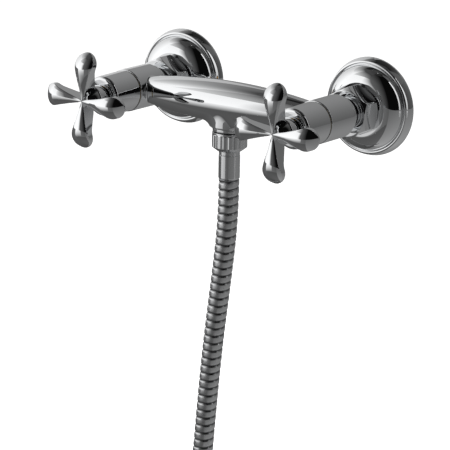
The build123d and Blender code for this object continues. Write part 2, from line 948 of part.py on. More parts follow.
def make_insert(face, neck_end, barb_end, x=0.0, y=None):
    # Brass insert: a flange on the washer, a neck, and a barb that the hose is crimped on.
    toward = 1 if barb_end > face else -1
    return upright([
        (insert_bore, face),
        (insert_flange_radius, face),
        (insert_flange_radius, face + toward * insert_flange),
        (insert_neck, face + toward * insert_flange),
        (insert_neck, neck_end),
        (barb_radius, neck_end),
        (barb_radius, barb_end),
        (insert_bore, barb_end),
    ], x, y)


def make_ferrule(wide_end, far_end, neck_end, x=0.0, y=None):
    # Crimped sleeve round the insert, with a turned-in edge where the hose leaves it.
    toward = 1 if far_end > wide_end else -1
    return upright([
        (insert_neck + thread_gap, wide_end),
        (ferrule_radius, wide_end),
        (ferrule_radius, far_end - toward * ferrule_edge),
        (ferrule_radius - ferrule_edge / 2, far_end),
        (barb_radius + thread_gap, far_end),
        (barb_radius + thread_gap, neck_end),
        (insert_neck + thread_gap, neck_end),
    ], x, y)


# Hose


def route_points():
    return [Vector(px, out(bar_out), hose_top + pz) for px, pz in hose_route]


def route_radii(points):
    # Each corner's arc is as large as its two runs allow.
    radii = []
    for before, corner, after in zip(points, points[1:], points[2:]):
        first = corner - before
        second = after - corner
        half_turn = math.radians(first.get_angle(second)) / 2
        radii.append(0.45 * min(first.length, second.length) / math.tan(half_turn))
    return radii


def hanging_path():
    points = route_points()
    radii = route_radii(points)
    print("hose corner radii, mm:", [round(radius) for radius in radii])
    return FilletPolyline(*points, radius=radii)


def make_shower_hose(path):
    # The hanging stretch: ribs as a ruled loft of circles along the route, with the bore cut out.
    steady = Vector(0, 1, 0)

    def ring_at(distance, radius):
        share = distance / path.length
        return Plane(origin=path @ share, x_dir=steady, z_dir=path % share) * Circle(radius)

    ribs = math.floor(path.length / rib_pitch)
    pitch = path.length / ribs
    foot = rib_groove_share / 2
    crest = foot + rib_flank_share
    root_radius = hose_radius - rib_depth
    profile = [(foot, root_radius), (crest, hose_radius), (1 - crest, hose_radius), (1 - foot, root_radius)]
    rings = [ring_at(0, root_radius)]
    for rib in range(ribs):
        rings += [ring_at((rib + share) * pitch, radius) for share, radius in profile]
    rings.append(ring_at(path.length, root_radius))
    hose = loft(rings, ruled=True) - sweep(ring_at(0, hose_bore), path=path.wire())
    low = math.pi * (root_radius ** 2 - hose_bore ** 2) * path.length
    high = math.pi * (hose_radius ** 2 - hose_bore ** 2) * path.length
    print(f"hanging hose: {path.length:.1f} mm, {ribs} ribs")
    print(f"hose volume {hose.volume:.0f}, between {low:.0f} and {high:.0f}")
    return hose


def coil_frame(path):
    # The coil's first point and heading, its centre, and the angle at which the hose joins the ring.
    heading = (path % 1).normalized()
    joined = path @ 1 + heading * 2 * hose_radius
    angle = math.atan2(-heading.X, heading.Z)
    centre = joined - Vector(coil_radius * math.cos(angle), 0, coil_radius * math.sin(angle))
    return joined, heading, centre, angle % (2 * math.pi)


def coil_place(centre, angle, first_angle):
    # A point on the coil and the heading there: turns lie side by side, each one nearer the wall.
    creep = coil_pitch * (angle - first_angle) / (2 * math.pi)
    spot = centre + Vector(coil_radius * math.cos(angle), creep, coil_radius * math.sin(angle))
    creep_rate = coil_pitch / (2 * math.pi)
    heading = Vector(-coil_radius * math.sin(angle), creep_rate, coil_radius * math.cos(angle))
    return spot, heading.normalized()


def coil_path(path):
    # One unbroken line: a straight lead-in, quarter turns, and a straight end that hangs down.
    joined, heading, centre, first = coil_frame(path)
    last = math.pi + 2 * math.pi * coil_turns
    steps = math.ceil((last - first) / (math.pi / 2))
    edges = [Edge.make_line(path @ 1, joined)]
    spot, direction = joined, heading
    for step in range(1, steps + 1):
        angle = first + (last - first) * step / steps
        next_spot, next_direction = coil_place(centre, angle, first)
        if step == steps:
            next_direction = Vector(0, 0, -1)
        edges += biarc(spot, direction, next_spot, next_direction)
        spot, direction = next_spot, next_direction
    edges.append(Edge.make_line(spot, spot + direction * hose_tail))
    return Wire(edges)


def least_gap(wire):
    # The least free distance of the tube to itself, measured on points further apart than half a turn.
    count = 700
    spots = [wire @ (number / count) for number in range(count + 1)]
    apart = math.ceil(count * coil_radius * math.pi / wire.length)
    least = min(
        (spots[first] - spots[second]).length
        for first in range(count + 1)
        for second in range(first + apart, count + 1)
    )
    return least - 2 * hose_radius


def make_coil(wire):
    section = Plane(origin=wire @ 0, x_dir=(0, 1, 0), z_dir=wire % 0)
    ring = section * (Circle(hose_radius) - Circle(hose_bore))
    coil = sweep(ring, path=wire)
    expected = math.pi * (hose_radius ** 2 - hose_bore ** 2) * wire.length
    print(f"coil: {wire.length:.1f} mm, gap to itself {least_gap(wire):.2f} mm")
    print(f"coil volume {coil.volume:.0f}, section times length {expected:.0f}")
    return coil


def make_tie(path):
    # Strap round the turns that lie side by side where the hose joins the ring.
    joined, heading, centre, first = coil_frame(path)
    angle = math.radians(tie_angle)
    near, along = coil_place(centre, angle, first)
    far, _ = coil_place(centre, angle + 2 * math.pi * coil_turns, first)
    plane = Plane(origin=(near + far) * 0.5, x_dir=(0, 1, 0), z_dir=Vector(along.X, 0, along.Z))
    inner = 2 * (hose_radius + tie_gap)
    separation = (far - near).length
    outer_slot = SlotCenterToCenter(separation, inner + 2 * tie_thickness)
    strap = outer_slot - SlotCenterToCenter(separation, inner)
    return extrude(plane * strap, amount=tie_width / 2, both=True)


# Free end of the hose


def make_cone_nut(top, x, y):
    # Conical nut that turns on the insert: widest at its threaded mouth, with grip flutes.
    # Behind the thread the bore is narrower and holds the washer and the insert's flange.
    bottom = top - cone_nut_length
    washer_seat = bottom + cone_nut_thread + cone_nut_thread_end
    flange_seat = washer_seat + washer_thickness + insert_flange + spindle_play
    nut = upright([
        (insert_clearance, top),
        (cone_nut_top_radius, top),
        (cone_nut_mouth_radius, bottom + cone_nut_grip),
        (cone_nut_mouth_radius, bottom + cone_nut_edge),
        (cone_nut_mouth_radius - cone_nut_edge, bottom),
        (hose_nut_bore, bottom),
        (hose_nut_bore, bottom + cone_nut_thread),
        (cone_nut_seat_radius, bottom + cone_nut_thread),
        (cone_nut_seat_radius, flange_seat),
        (insert_clearance, flange_seat),
    ], x, y)
    grooves = flutes(
        cone_nut_flutes, cone_nut_mouth_radius, flute_depth, x, y,
        bottom + cone_nut_thread, bottom + 2 * cone_nut_edge,
    )
    return nut - grooves


for side, x, rest in (("hot", -inlet_x, hot_rest_turn), ("cold", inlet_x, 0)):
    axis = valve_axis(x)
    save(f"{side}_wall_union", make_wall_union(x))
    save(f"{side}_wall_plate", make_wall_plate(x))
    save(f"{side}_union_nut", make_union_nut(x))
    save(f"{side}_inlet_washer", make_inlet_washer(x))
    save(f"{side}_strainer", make_strainer(x))
    save(f"{side}_inlet_tail", make_inlet_tail(x))
    save(f"{side}_headwork", make_headwork(x))
    save(f"{side}_headwork_seal", make_headwork_seal(x))
    save(f"{side}_seat_seal", make_seat_seal(x))
    save(f"{side}_fixed_disc", make_disc(x, fixed_disc_rear, 0))
    save(f"{side}_turning_disc", make_turning_disc(x).rotate(axis, rest))
    save(f"{side}_spindle", make_spindle(x).rotate(axis, rest))
    save(f"{side}_spindle_seals", make_spindle_seals(x).rotate(axis, rest))
    save(f"{side}_circlip", make_circlip(x).rotate(axis, rest))
    save(f"{side}_cover_sleeve", make_cover_sleeve(x))
    save(f"{side}_handle", make_handle(x).rotate(axis, rest))
    save(f"{side}_handle_screw", make_handle_screw(x).rotate(axis, rest))

save("mixer_body", make_mixer_body())
save("outlet_nipple", make_outlet_nipple())
save("check_valve_cage", make_check_valve_cage())
save("check_valve_poppet", make_poppet())
save("check_valve_spring", make_spring())
save("hose_washer", make_washer(nipple_bottom))
save("hose_nut", make_hose_nut())
save("hose_insert", make_insert(insert_top, ferrule_top - ferrule_cover, hose_top))
save("hose_ferrule", make_ferrule(ferrule_top, hose_top, ferrule_top - ferrule_cover))

hanging = hanging_path()
save("shower_hose", make_shower_hose(hanging))
coil_line = coil_path(hanging)
save("hose_coil", make_coil(coil_line))
save("hose_tie", make_tie(hanging))

hose_end = coil_line @ 1
end_ferrule_bottom = hose_end.Z - end_ferrule_length
cone_top = end_ferrule_bottom - spindle_play
cone_mouth = cone_top - cone_nut_length
cone_washer_top = cone_mouth + cone_nut_thread + cone_nut_thread_end + washer_thickness
print("hose end, mm:", [round(value, 3) for value in hose_end])
end_neck_top = end_ferrule_bottom + ferrule_cover
spot = (hose_end.X, hose_end.Y)
save("end_ferrule", make_ferrule(end_ferrule_bottom, hose_end.Z, end_neck_top, *spot))
save("end_insert", make_insert(cone_washer_top, end_neck_top, hose_end.Z, *spot))
save("cone_nut", make_cone_nut(cone_top, *spot))
save("cone_washer", make_washer(cone_washer_top, *spot))
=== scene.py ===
import bmesh
import bpy
import numpy as np
from mathutils import Matrix


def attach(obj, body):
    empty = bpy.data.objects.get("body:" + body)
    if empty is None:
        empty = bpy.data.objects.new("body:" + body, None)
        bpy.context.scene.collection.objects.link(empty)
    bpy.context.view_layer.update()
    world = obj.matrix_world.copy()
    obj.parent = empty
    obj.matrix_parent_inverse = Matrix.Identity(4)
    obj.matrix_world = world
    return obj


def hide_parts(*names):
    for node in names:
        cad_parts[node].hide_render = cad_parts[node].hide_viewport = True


# Wall-mounted shower mixer: two cross handles, a barrel-shaped bar, domed wall plates and a ribbed hose.
# Sizes in the dictionaries are millimetres; "out" is the distance from the wall towards the user, along -Y.
# A profile's corner is (radius, along the axis, rounding).

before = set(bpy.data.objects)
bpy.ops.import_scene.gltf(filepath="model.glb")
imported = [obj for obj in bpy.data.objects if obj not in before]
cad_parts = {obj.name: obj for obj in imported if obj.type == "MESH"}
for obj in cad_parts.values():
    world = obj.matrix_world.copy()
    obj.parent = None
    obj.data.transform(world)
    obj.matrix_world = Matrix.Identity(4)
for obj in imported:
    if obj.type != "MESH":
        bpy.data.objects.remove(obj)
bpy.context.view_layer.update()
mm = 0.001
inletX = {"hot": -75.0, "cold": 75.0}
barOut = 51.0
print("frame loaded")


def addObject(name, data):
    item = bpy.data.objects.new(name, data)
    bpy.context.scene.collection.objects.link(item)
    return item


def facing(azimuth, elevation):
    # Looks at the origin from an azimuth right of the front and an elevation: tip about X, then turn about Z.
    turn = Matrix.Rotation(np.radians(azimuth), 4, "Z")
    tip = Matrix.Rotation(np.radians(90 - elevation), 4, "X")
    return turn @ tip


# Camera, placed by the photograph's outlines; it is rolled a little about its own line of sight

cameraSetup = {"azimuth": 36.096, "elevation": 14.597, "roll": 0.955, "lens": 215.46, "sensor": 36.0,
               "place": (997.1, -1422.14, 360.2), "nearest": 10.0}


def makeCamera():
    c = cameraSetup
    data = bpy.data.cameras.new("photoCamera")
    data.lens = c["lens"]
    data.sensor_width = c["sensor"]
    data.sensor_fit = "HORIZONTAL"
    data.clip_start = c["nearest"] * mm
    camera = addObject("photoCamera", data)
    roll = Matrix.Rotation(np.radians(c["roll"]), 4, "Z")
    place = Matrix.Translation([v * mm for v in c["place"]])
    camera.matrix_world = place @ facing(c["azimuth"], c["elevation"]) @ roll
    bpy.context.scene.camera = camera


makeCamera()
print("camera placed")


# Mesh building

filletPoints = 6   # points in each rounded corner of a profile
tiny = 1e-9        # keeps a zero length from being divided by


def filletLoop(corners, angle):
    # Closed profile with arcs at its corners: an arc of radius R touches both edges at R / tan(half the
    # corner's angle) from the corner, but never past 0.48 of an edge. Each corner is (radius, along, R);
    # radius and along may be arrays with one value for each angle round the axis.
    place = np.zeros((len(corners), len(angle), 2))
    for row, corner in enumerate(corners):
        place[row, :, 0] = corner[0]
        place[row, :, 1] = corner[1]
    before = np.roll(place, 1, axis=0) - place
    after = np.roll(place, -1, axis=0) - place
    beforeLength = np.linalg.norm(before, axis=-1, keepdims=True) + tiny
    afterLength = np.linalg.norm(after, axis=-1, keepdims=True) + tiny
    before /= beforeLength
    after /= afterLength
    half = np.arccos(np.clip((before * after).sum(-1, keepdims=True), -1, 1)) / 2
    half = np.clip(half, 0.02, np.pi / 2 - 1e-4)
    rounding = np.array([corner[2] for corner in corners], float)[:, None, None]
    reach = np.minimum(rounding / np.tan(half), 0.48 * np.minimum(beforeLength, afterLength))
    radius = reach * np.tan(half)
    inward = before + after
    inward /= np.linalg.norm(inward, axis=-1, keepdims=True) + tiny
    middle = place + inward * radius / np.sin(half)
    share = np.linspace(0, 1, filletPoints)[:, None, None]
    rows = []
    for row, corner in enumerate(corners):
        if not corner[2]:
            rows.append(place[row:row + 1])
            continue
        start = place[row] + before[row] * reach[row] - middle[row]
        end = place[row] + after[row] * reach[row] - middle[row]
        spread = np.pi - 2 * half[row]
        arc = (np.sin((1 - share) * spread) * start + np.sin(share * spread) * end) / np.sin(spread)
        rows.append(middle[row] + arc)
    return np.concatenate(rows)


def aboutValve(x):
    # Axis of a valve: the radius turns in the wall's plane, along is the distance out from the wall.
    def place(radius, angle, along):
        return np.stack([x + radius * np.cos(angle), -along + 0 * angle, radius * np.sin(angle)], axis=-1)
    return place


def aboutUpright(x, out):
    # Upright axis: the radius turns in the floor's plane, along is the height.
    def place(radius, angle, along):
        across, back = radius * np.cos(angle), radius * np.sin(angle)
        return np.stack([x + across, -out + back, along + 0 * angle], axis=-1)
    return place


def turned(corners, place, count):
    # A closed profile carried once round an axis.
    angle = 2 * np.pi * np.arange(count) / count
    loop = filletLoop(corners(angle) if callable(corners) else corners, angle)
    return place(loop[..., 0], angle, loop[..., 1]), True, True


def arcBetween(start, end, bulge, count):
    # Points of a circular arc between two points, which stands off the chord's middle by the bulge, ends
    # left out. Radius = (length^2 / 4 + bulge^2) / (2 bulge).
    start, end = np.array(start, float), np.array(end, float)
    chord = end - start
    length = np.linalg.norm(chord)
    side = np.array([-chord[1], chord[0]]) / length
    radius = (length ** 2 / 4 + bulge ** 2) / (2 * bulge)
    centre = (start + end) / 2 + side * (bulge - radius)
    half = np.arcsin(length / 2 / radius)
    turn = np.linspace(-half, half, count + 2)[1:-1]
    points = centre + radius * (np.cos(turn)[:, None] * side + np.sin(turn)[:, None] * chord / length)
    return [(r, along, 0) for r, along in points]


def gridQuads(shape, wrapRows, wrapColumns, first):
    # Quads between neighbouring rows and columns of a grid.
    rows, columns = shape
    row = np.arange(rows if wrapRows else rows - 1)[:, None]
    column = np.arange(columns if wrapColumns else columns - 1)[None, :]
    here, below = row * columns, (row + 1) % rows * columns
    beside = (column + 1) % columns
    quads = [here + column, below + column, below + beside, here + beside]
    return np.stack(np.broadcast_arrays(*quads), axis=-1).reshape(-1, 4) + first


def outward(points, quads):
    # The volume under all quads has the sign of their direction; a negative one is turned round.
    a, b, c, d = (points[quads[:, corner]] for corner in range(4))
    volume = (np.cross(a, b) * c).sum() + (np.cross(a, c) * d).sum()
    return quads if volume > 0 else quads[:, ::-1]


def makePiece(name, grids, material, body, nodes, crease=38, join=False, weighted=True, paint=None):
    # One object from surfaces on grids, its poles and seams merged, shaded smooth up to the crease angle.
    # Grids that join share one skin; the others are closed shells, each with its faces outwards.
    points, quads, first = [], [], 0
    for grid, wrapRows, wrapColumns in grids:
        faces = gridQuads(grid.shape[:2], wrapRows, wrapColumns, first)
        points.append(grid.reshape(-1, 3))
        first += grid.shape[0] * grid.shape[1]
        quads.append(faces if join else outward(np.concatenate(points), faces))
    mesh = bpy.data.meshes.new(name)
    mesh.from_pydata(np.concatenate(points) * mm, [], np.concatenate(quads))
    if paint is not None:
        # the seam attribute holds the mask of painted shade for the hose's grooves
        mesh.attributes.new("seam", "FLOAT", "POINT").data.foreach_set("value", paint.ravel())
    work = bmesh.new()
    work.from_mesh(mesh)
    bmesh.ops.remove_doubles(work, verts=work.verts, dist=0.002 * mm)
    if join:
        bmesh.ops.recalc_face_normals(work, faces=work.faces)
    work.to_mesh(mesh)
    work.free()
    mesh.shade_smooth()
    mesh.set_sharp_from_angle(angle=np.radians(crease))
    mesh.materials.append(material)
    piece = addObject(name, mesh)
    if weighted:
        modifier = piece.modifiers.new("evenShading", "WEIGHTED_NORMAL")
        modifier.keep_sharp = True
    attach(piece, body)
    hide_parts(*nodes)
    return piece


def turnedPiece(name, corners, place, count, look, node, body="mixer", crease=38):
    # A piece that is one profile round one axis, in place of one CAD node.
    return makePiece(name, [turned(corners, place, count)], finish[look], body, (node,), crease)


# Materials


def linear(code):
    # sRGB hex to linear: divided by 12.92 below 0.04045, otherwise ((c + 0.055) / 1.055) to the power 2.4.
    value = np.array([int(code[i:i + 2], 16) for i in (1, 3, 5)]) / 255
    value = np.where(value <= 0.04045, value / 12.92, ((value + 0.055) / 1.055) ** 2.4)
    return (*value.tolist(), 1.0)


def linkInputs(tree, node, links):
    # A link is input name -> (node, output name).
    for key, (source, output) in links.items():
        tree.links.new(source.outputs[output], node.inputs[key])


def addNode(tree, kind, settings=None, links=None):
    # One node with its settings and links.
    node = tree.nodes.new(kind)
    for key, value in (settings or {}).items():
        if isinstance(key, int) or key in node.inputs:
            node.inputs[key].default_value = value
        else:
            setattr(node, key, value)
    linkInputs(tree, node, links or {})
    return node


def newMaterial(name, settings):
    material = bpy.data.materials.new(name)
    material.use_nodes = True
    tree = material.node_tree
    shader = tree.nodes["Principled BSDF"]
    for key, value in settings.items():
        shader.inputs[key].default_value = value
    where = addNode(tree, "ShaderNodeTexCoord")
    return material, tree, shader, where


def platedMetal(name, color, smooth, rough, smearSize, dentSize, dentHeight):
    # Plated, polished brass: the plating follows faint polishing waves, and wiping leaves duller smears.
    material, tree, shader, where = newMaterial(name, {"Base Color": linear(color), "Metallic": 1.0})
    pattern = {"Scale": 1 / (smearSize * mm), "Detail": 4.0, "Roughness": 0.6}
    smear = addNode(tree, "ShaderNodeTexNoise", pattern, {"Vector": (where, "Object")})
    limits = {"From Min": 0.3, "From Max": 0.7, "To Min": smooth, "To Max": rough}
    dull = addNode(tree, "ShaderNodeMapRange", limits, {"Value": (smear, "Fac")})
    wave = addNode(tree, "ShaderNodeTexNoise", {"Scale": 1 / (dentSize * mm), "Detail": 1.0},
                   {"Vector": (where, "Object")})
    bump = addNode(tree, "ShaderNodeBump", {"Strength": 0.5, "Distance": dentHeight * mm},
                   {"Height": (wave, "Fac")})
    linkInputs(tree, shader, {"Roughness": (dull, "Result"), "Normal": (bump, "Normal")})
    return material


def turnedMetal(name, color, smooth, rough, toolStep, axis):
    # Metal off a lathe: fine rings one tool step apart catch the light as soft bands round the axis. The
    # wave has one ring for each 0.314 of its scaled length.
    material, tree, shader, where = newMaterial(name, {"Base Color": linear(color), "Metallic": 1.0})
    pattern = {"bands_direction": axis, "Scale": 0.314 / (toolStep * mm), "Distortion": 0.6, "Detail": 2.0,
               "Detail Scale": 2.0}
    rings = addNode(tree, "ShaderNodeTexWave", pattern, {"Vector": (where, "Object")})
    dull = addNode(tree, "ShaderNodeMapRange", {"To Min": smooth, "To Max": rough}, {"Value": (rings, "Fac")})
    bump = addNode(tree, "ShaderNodeBump", {"Strength": 0.25, "Distance": 0.02 * mm},
                   {"Height": (rings, "Fac")})
    linkInputs(tree, shader, {"Roughness": (dull, "Result"), "Normal": (bump, "Normal")})
    return material


def mouldedMaterial(name, color, other, rough, ior, grain, height):
    # Moulded or fired surface: two close tones and a fine grain.
    material, tree, shader, where = newMaterial(name, {"Roughness": rough, "IOR": ior})
    grains = addNode(tree, "ShaderNodeTexNoise", {"Scale": 1 / (grain * mm), "Detail": 3.0},
                     {"Vector": (where, "Object")})
    tone = addNode(tree, "ShaderNodeMix", {"data_type": "RGBA", 6: linear(color), 7: linear(other)},
                   {"Factor": (grains, "Fac")})
    bump = addNode(tree, "ShaderNodeBump", {"Strength": 0.3, "Distance": height * mm},
                   {"Height": (grains, "Fac")})
    linkInputs(tree, shader, {"Base Color": (tone, 2), "Normal": (bump, "Normal")})
    return material


def hoseMaterial(name, crown, seamShadeTone):
    # Interlocked chromed steel strip: the crowns in the steel's own colour and the seams darkened by painted
    # shade where the groove lies; a noise of rubbing wear varies the roughness over the whole strip.
    material, tree, shader, where = newMaterial(name, {"Metallic": 1.0})
    seam = addNode(tree, "ShaderNodeAttribute", {"attribute_name": "seam"})
    wear = addNode(tree, "ShaderNodeTexNoise", {"Scale": 1 / (3.0 * mm), "Detail": 3.0},
                   {"Vector": (where, "Object")})
    # Painted shade: the seam mask mixes the crown colour towards the dark seam-shade tone in the grooves.
    tone = addNode(tree, "ShaderNodeMix", {"data_type": "RGBA", 6: linear(crown), 7: linear(seamShadeTone)},
                   {"Factor": (seam, "Fac")})
    limits = {"From Min": 0.3, "From Max": 0.7, "To Min": 0.24, "To Max": 0.34}
    dull = addNode(tree, "ShaderNodeMapRange", limits, {"Value": (wear, "Fac")})
    linkInputs(tree, shader, {"Base Color": (tone, 2), "Roughness": (dull, "Result")})
    return material


# Plated: colour, roughness polished and smeared, smear size, wave size, wave height. Turned: colour,
# roughness, tool step, axis; real steps of about 0.1 mm are drawn coarser, to show. Moulded: two tones,
# roughness, index of refraction, grain size and height.
finish = {
    # chrome over bright nickel, buffed: a cool grey mirror
    "chrome": platedMetal("polishedChromePlate", "#EDEEEF", 0.02, 0.045, 14.0, 9.0, 0.004),
    # the same plate on tumbled nuts and ferrules: softer reflections
    "satin": platedMetal("nutChromePlate", "#E4E5E6", 0.10, 0.16, 6.0, 2.0, 0.006),
    # the second, dark grey is painted shade in the hose's seams
    "hose": hoseMaterial("interlockedSteelStrip", "#DCDDDE", "#48494A"),
    # warm yellow, with soft bands across the turning axis
    "brass": turnedMetal("machinedBrass", "#D9B671", 0.18, 0.30, 0.25, "Y"),
    "brassUpright": turnedMetal("machinedBrassUpright", "#D9B671", 0.18, 0.30, 0.25, "Z"),
    # plain grey, a blurred shine
    "steel": turnedMetal("stainlessSteel", "#C4C5C6", 0.22, 0.34, 0.2, "Z"),
    # moulded seals: near black, a low sheen
    "rubber": mouldedMaterial("nitrileRubber", "#1B1B1C", "#262627", 0.55, 1.52, 0.6, 0.02),
    # fired and lapped discs: warm white, an even gloss
    "ceramic": mouldedMaterial("lappedAlumina", "#F1EEE6", "#E9E5DB", 0.2, 1.76, 0.3, 0.002),
    # off-white plastic with a waxy shine
    "acetal": mouldedMaterial("mouldedAcetal", "#EDEDE8", "#E4E4DE", 0.32, 1.48, 0.8, 0.006),
    # dark grey strap, a fine grain and hardly any shine
    "strap": mouldedMaterial("strapRubber", "#2B2C2E", "#353638", 0.5, 1.52, 0.8, 0.03),
}
print("materials made")


# Hose: the route's points are those of the part's source, in metres

hose = {"radius": 6.75, "ribPitch": 5.3, "ribDepth": 0.6, "seamShare": 0.16, "crown": 0.12, "length": 1.417,
        "hanging": 317.8, "coilRadius": 81.0, "coilPitch": 15.4, "coilTurns": 2, "coilPoints": 16,
        "tail": 23.0, "around": 32, "rowsInRib": 14, "rowsInCoiledRib": 6.5, "tangentReach": 1.5}
hoseTop = (0.0, -0.051, -0.0503)
hoseRoute = [
    hoseTop,
    (0.0, -0.051, -0.0763),
    (-0.0046, -0.051, -0.1163),
    (-0.0108, -0.051, -0.1623),
    (-0.0152, -0.051, -0.2083),
    (-0.0190, -0.051, -0.2543),
    (-0.0275, -0.051, -0.2963),
    (-0.0440, -0.051, -0.3323),
    (-0.0600, -0.051, -0.3583),
]


def coilStart():
    # The wound length joins two radii past the hanging one, where the circle runs the hose's own way.
    last, before = np.array(hoseRoute[-1]) / mm, np.array(hoseRoute[-2]) / mm
    heading = (last - before) / np.linalg.norm(last - before)
    return last + heading * 2 * hose["radius"], np.arctan2(-heading[0], heading[2]) % (2 * np.pi)


def coilRoute():
    # The wound length: points on a circle, one behind the other in even steps, each turn a pitch nearer the
    # wall. They stand out from it by 1 / cos(half a step), so that the line between them follows the circle.
    joined, first = coilStart()
    radius = hose["coilRadius"]
    centre = joined - radius * np.array([np.cos(first), 0, np.sin(first)])
    end = np.pi + 2 * np.pi * hose["coilTurns"]
    steps = round((end - first) / (2 * np.pi) * hose["coilPoints"])
    step = (end - first) / steps
    angle = first + step * (np.arange(steps) + 0.5)
    reach = radius / np.cos(step / 2)
    creep = hose["coilPitch"] * (angle - first) / (2 * np.pi)
    points = centre + np.stack([reach * np.cos(angle), creep, reach * np.sin(angle)], axis=-1)
    tail = centre + np.array([-radius, hose["coilPitch"] * (end - first) / (2 * np.pi), -hose["tail"]])
    return np.concatenate([points, [tail]]) * mm, tail, centre


def routeLine(points):
    # The smooth line through a route: a quadratic NURBS spline, read as points from its own mesh.
    data = bpy.data.curves.new("hoseRoute", "CURVE")
    data.dimensions = "3D"
    spline = data.splines.new("NURBS")
    spline.points.add(len(points) - 1)
    spline.points.foreach_set("co", np.column_stack([points, np.ones(len(points))]).ravel())
    spline.order_u = 3
    spline.use_endpoint_u = True
    spline.resolution_u = 24
    route = addObject("hoseRoute", data)
    bpy.context.view_layer.update()
    mesh = bpy.data.meshes.new_from_object(route)
    line = np.zeros(len(mesh.vertices) * 3)
    mesh.vertices.foreach_get("co", line)
    bpy.data.objects.remove(route)
    return line.reshape(-1, 3)


def spacedAlong(line, places):
    # Points of a line at given distances along it.
    run = np.concatenate([[0], np.cumsum(np.linalg.norm(np.diff(line, axis=0), axis=1))])
    return np.stack([np.interp(places, run, line[:, axis]) for axis in range(3)], axis=-1)


def hoseTube(line):
    # Round section carried along the line; its radius dips by the rib depth where distance / pitch less
    # turn / 360 passes a whole number, so that the seam winds round as a right-handed helix.
    length = np.linalg.norm(np.diff(line, axis=0), axis=1).sum() / mm
    hanging, pitch = hose["hanging"], hose["ribPitch"]
    coiledRows = round((length - hanging) / (pitch / hose["rowsInCoiledRib"]))
    places = np.concatenate([[0], np.arange(0, hanging, pitch / hose["rowsInRib"]),
                             np.linspace(hanging, length, coiledRows), [length]])
    spine = spacedAlong(line, places * mm) / mm
    ahead = spacedAlong(line, np.minimum(places + hose["tangentReach"], length) * mm)
    behind = spacedAlong(line, np.maximum(places - hose["tangentReach"], 0) * mm)
    tangent = (ahead - behind) / np.linalg.norm(ahead - behind, axis=1, keepdims=True)
    front = -(np.array([0, 1, 0]) - tangent * tangent[:, 1:2])
    front /= np.linalg.norm(front, axis=1, keepdims=True)
    side = np.cross(front, tangent)
    turn = 2 * np.pi * np.arange(hose["around"]) / hose["around"]
    phase = places[:, None] / pitch - turn / (2 * np.pi)
    fromSeam = np.abs(phase - np.round(phase))
    dip = np.clip(1 - fromSeam / hose["seamShare"], 0, 1) ** 0.8
    radius = hose["radius"] - hose["ribDepth"] * dip - hose["crown"] * (1 - 2 * fromSeam) ** 2
    radius[[0, -1]] = 0
    around = np.cos(turn)[:, None] * side[:, None] + np.sin(turn)[:, None] * front[:, None]
    # the dip also serves as the mask of painted shade in the seams
    return spine[:, None] + radius[..., None] * around, dip


coilPoints, hoseTail, coilCentre = coilRoute()
hoseLine = routeLine(np.concatenate([np.array(hoseRoute), coilPoints]))
# the seam mask carries painted shade into the hose's colour
hoseGrid, hoseSeamShade = hoseTube(hoseLine)
hosePiece = makePiece("showerHoseTube", [(hoseGrid, False, True)], finish["hose"], "mixer",
                      ("shower_hose", "hose_coil"), crease=60, weighted=False, paint=hoseSeamShade)


# Strap that holds the wound turns together

strap = {"angle": 165.0, "gap": 0.6, "thickness": 1.2, "width": 12.0, "edgeWidth": 1.4, "sink": 0.1,
         "around": 96}


def makeStrap():
    # Stadium with D between its centres: x = D/2 + r cos t on the near half, -D/2 + r cos t on the far one.
    angle = np.radians(strap["angle"])
    first = coilStart()[1]
    reach, pitch = hose["coilRadius"], hose["coilPitch"]
    creep = pitch * (angle - first) / (2 * np.pi)
    middle = coilCentre + [reach * np.cos(angle), creep + pitch, reach * np.sin(angle)]
    along = np.array([-np.sin(angle), 0, np.cos(angle)])
    across, away = np.array([0, 1, 0]), np.array([np.cos(angle), 0, np.sin(angle)])
    turn = 2 * np.pi * (np.arange(strap["around"]) + 0.5) / strap["around"]
    offset = np.where(np.cos(turn) > 0, pitch, -pitch)
    inner = hose["radius"] + strap["gap"]
    outer, half = inner + strap["thickness"], strap["width"] / 2
    face, edge = outer - strap["sink"], half - strap["edgeWidth"]
    section = filletLoop([
        (inner, -half, 0.4), (outer, -half, 0.5), (face, -edge, 0.3),
        (face, edge, 0.3), (outer, half, 0.5), (inner, half, 0.4),
    ], turn)
    radius, length = section[..., 0:1], section[..., 1:2]
    ring = (radius * np.cos(turn)[:, None] + offset[:, None]) * across + radius * np.sin(turn)[:, None] * away
    grid = (middle + ring + length * along, True, True)
    return makePiece("hoseStrap", [grid], finish["strap"], "mixer", ("hose_tie",))


strapPiece = makeStrap()


# Fittings on upright axes: outlet nipple, hose nut, ferrules and cone nut

halfInch = {"pin": 10.48, "bore": 10.53, "pitch": 1.814}   # G 1/2 thread: radii over a pin and in its hole
underMixer = aboutUpright(0.0, barOut)
underHose = aboutUpright(hoseTail[0], -hoseTail[1])


def fluted(profile, piece, angle):
    # Narrow round-bottomed grooves wherever the profile has the piece's full radius: the depth times the
    # fifth power of half plus half the cosine of count times the angle.
    dip = piece["fluteDepth"] * (0.5 + 0.5 * np.cos(piece["flutes"] * angle)) ** 5
    return [(r - dip if r == piece["radius"] else r, along, rounding) for r, along, rounding in profile]


def threadRows(radius, way, low, high, depth, angle):
    # Threaded wall in rows, ten to a thread: depth times the triangle wave of height / pitch less turn / 360,
    # faded out over one pitch at both ends. Way 1 cuts outwards, in a bore; way -1 cuts inwards, on a pin.
    pitch = halfInch["pitch"]
    rows = []
    for height in np.linspace(low, high, round(10 * (high - low) / pitch)):
        phase = height / pitch - angle / (2 * np.pi)
        wave = 2 * np.abs(phase - np.round(phase))
        fade = np.clip(min(height - low, high - height) / pitch, 0, 1)
        rows.append((radius + way * depth * wave * fade, height, 0))
    return rows


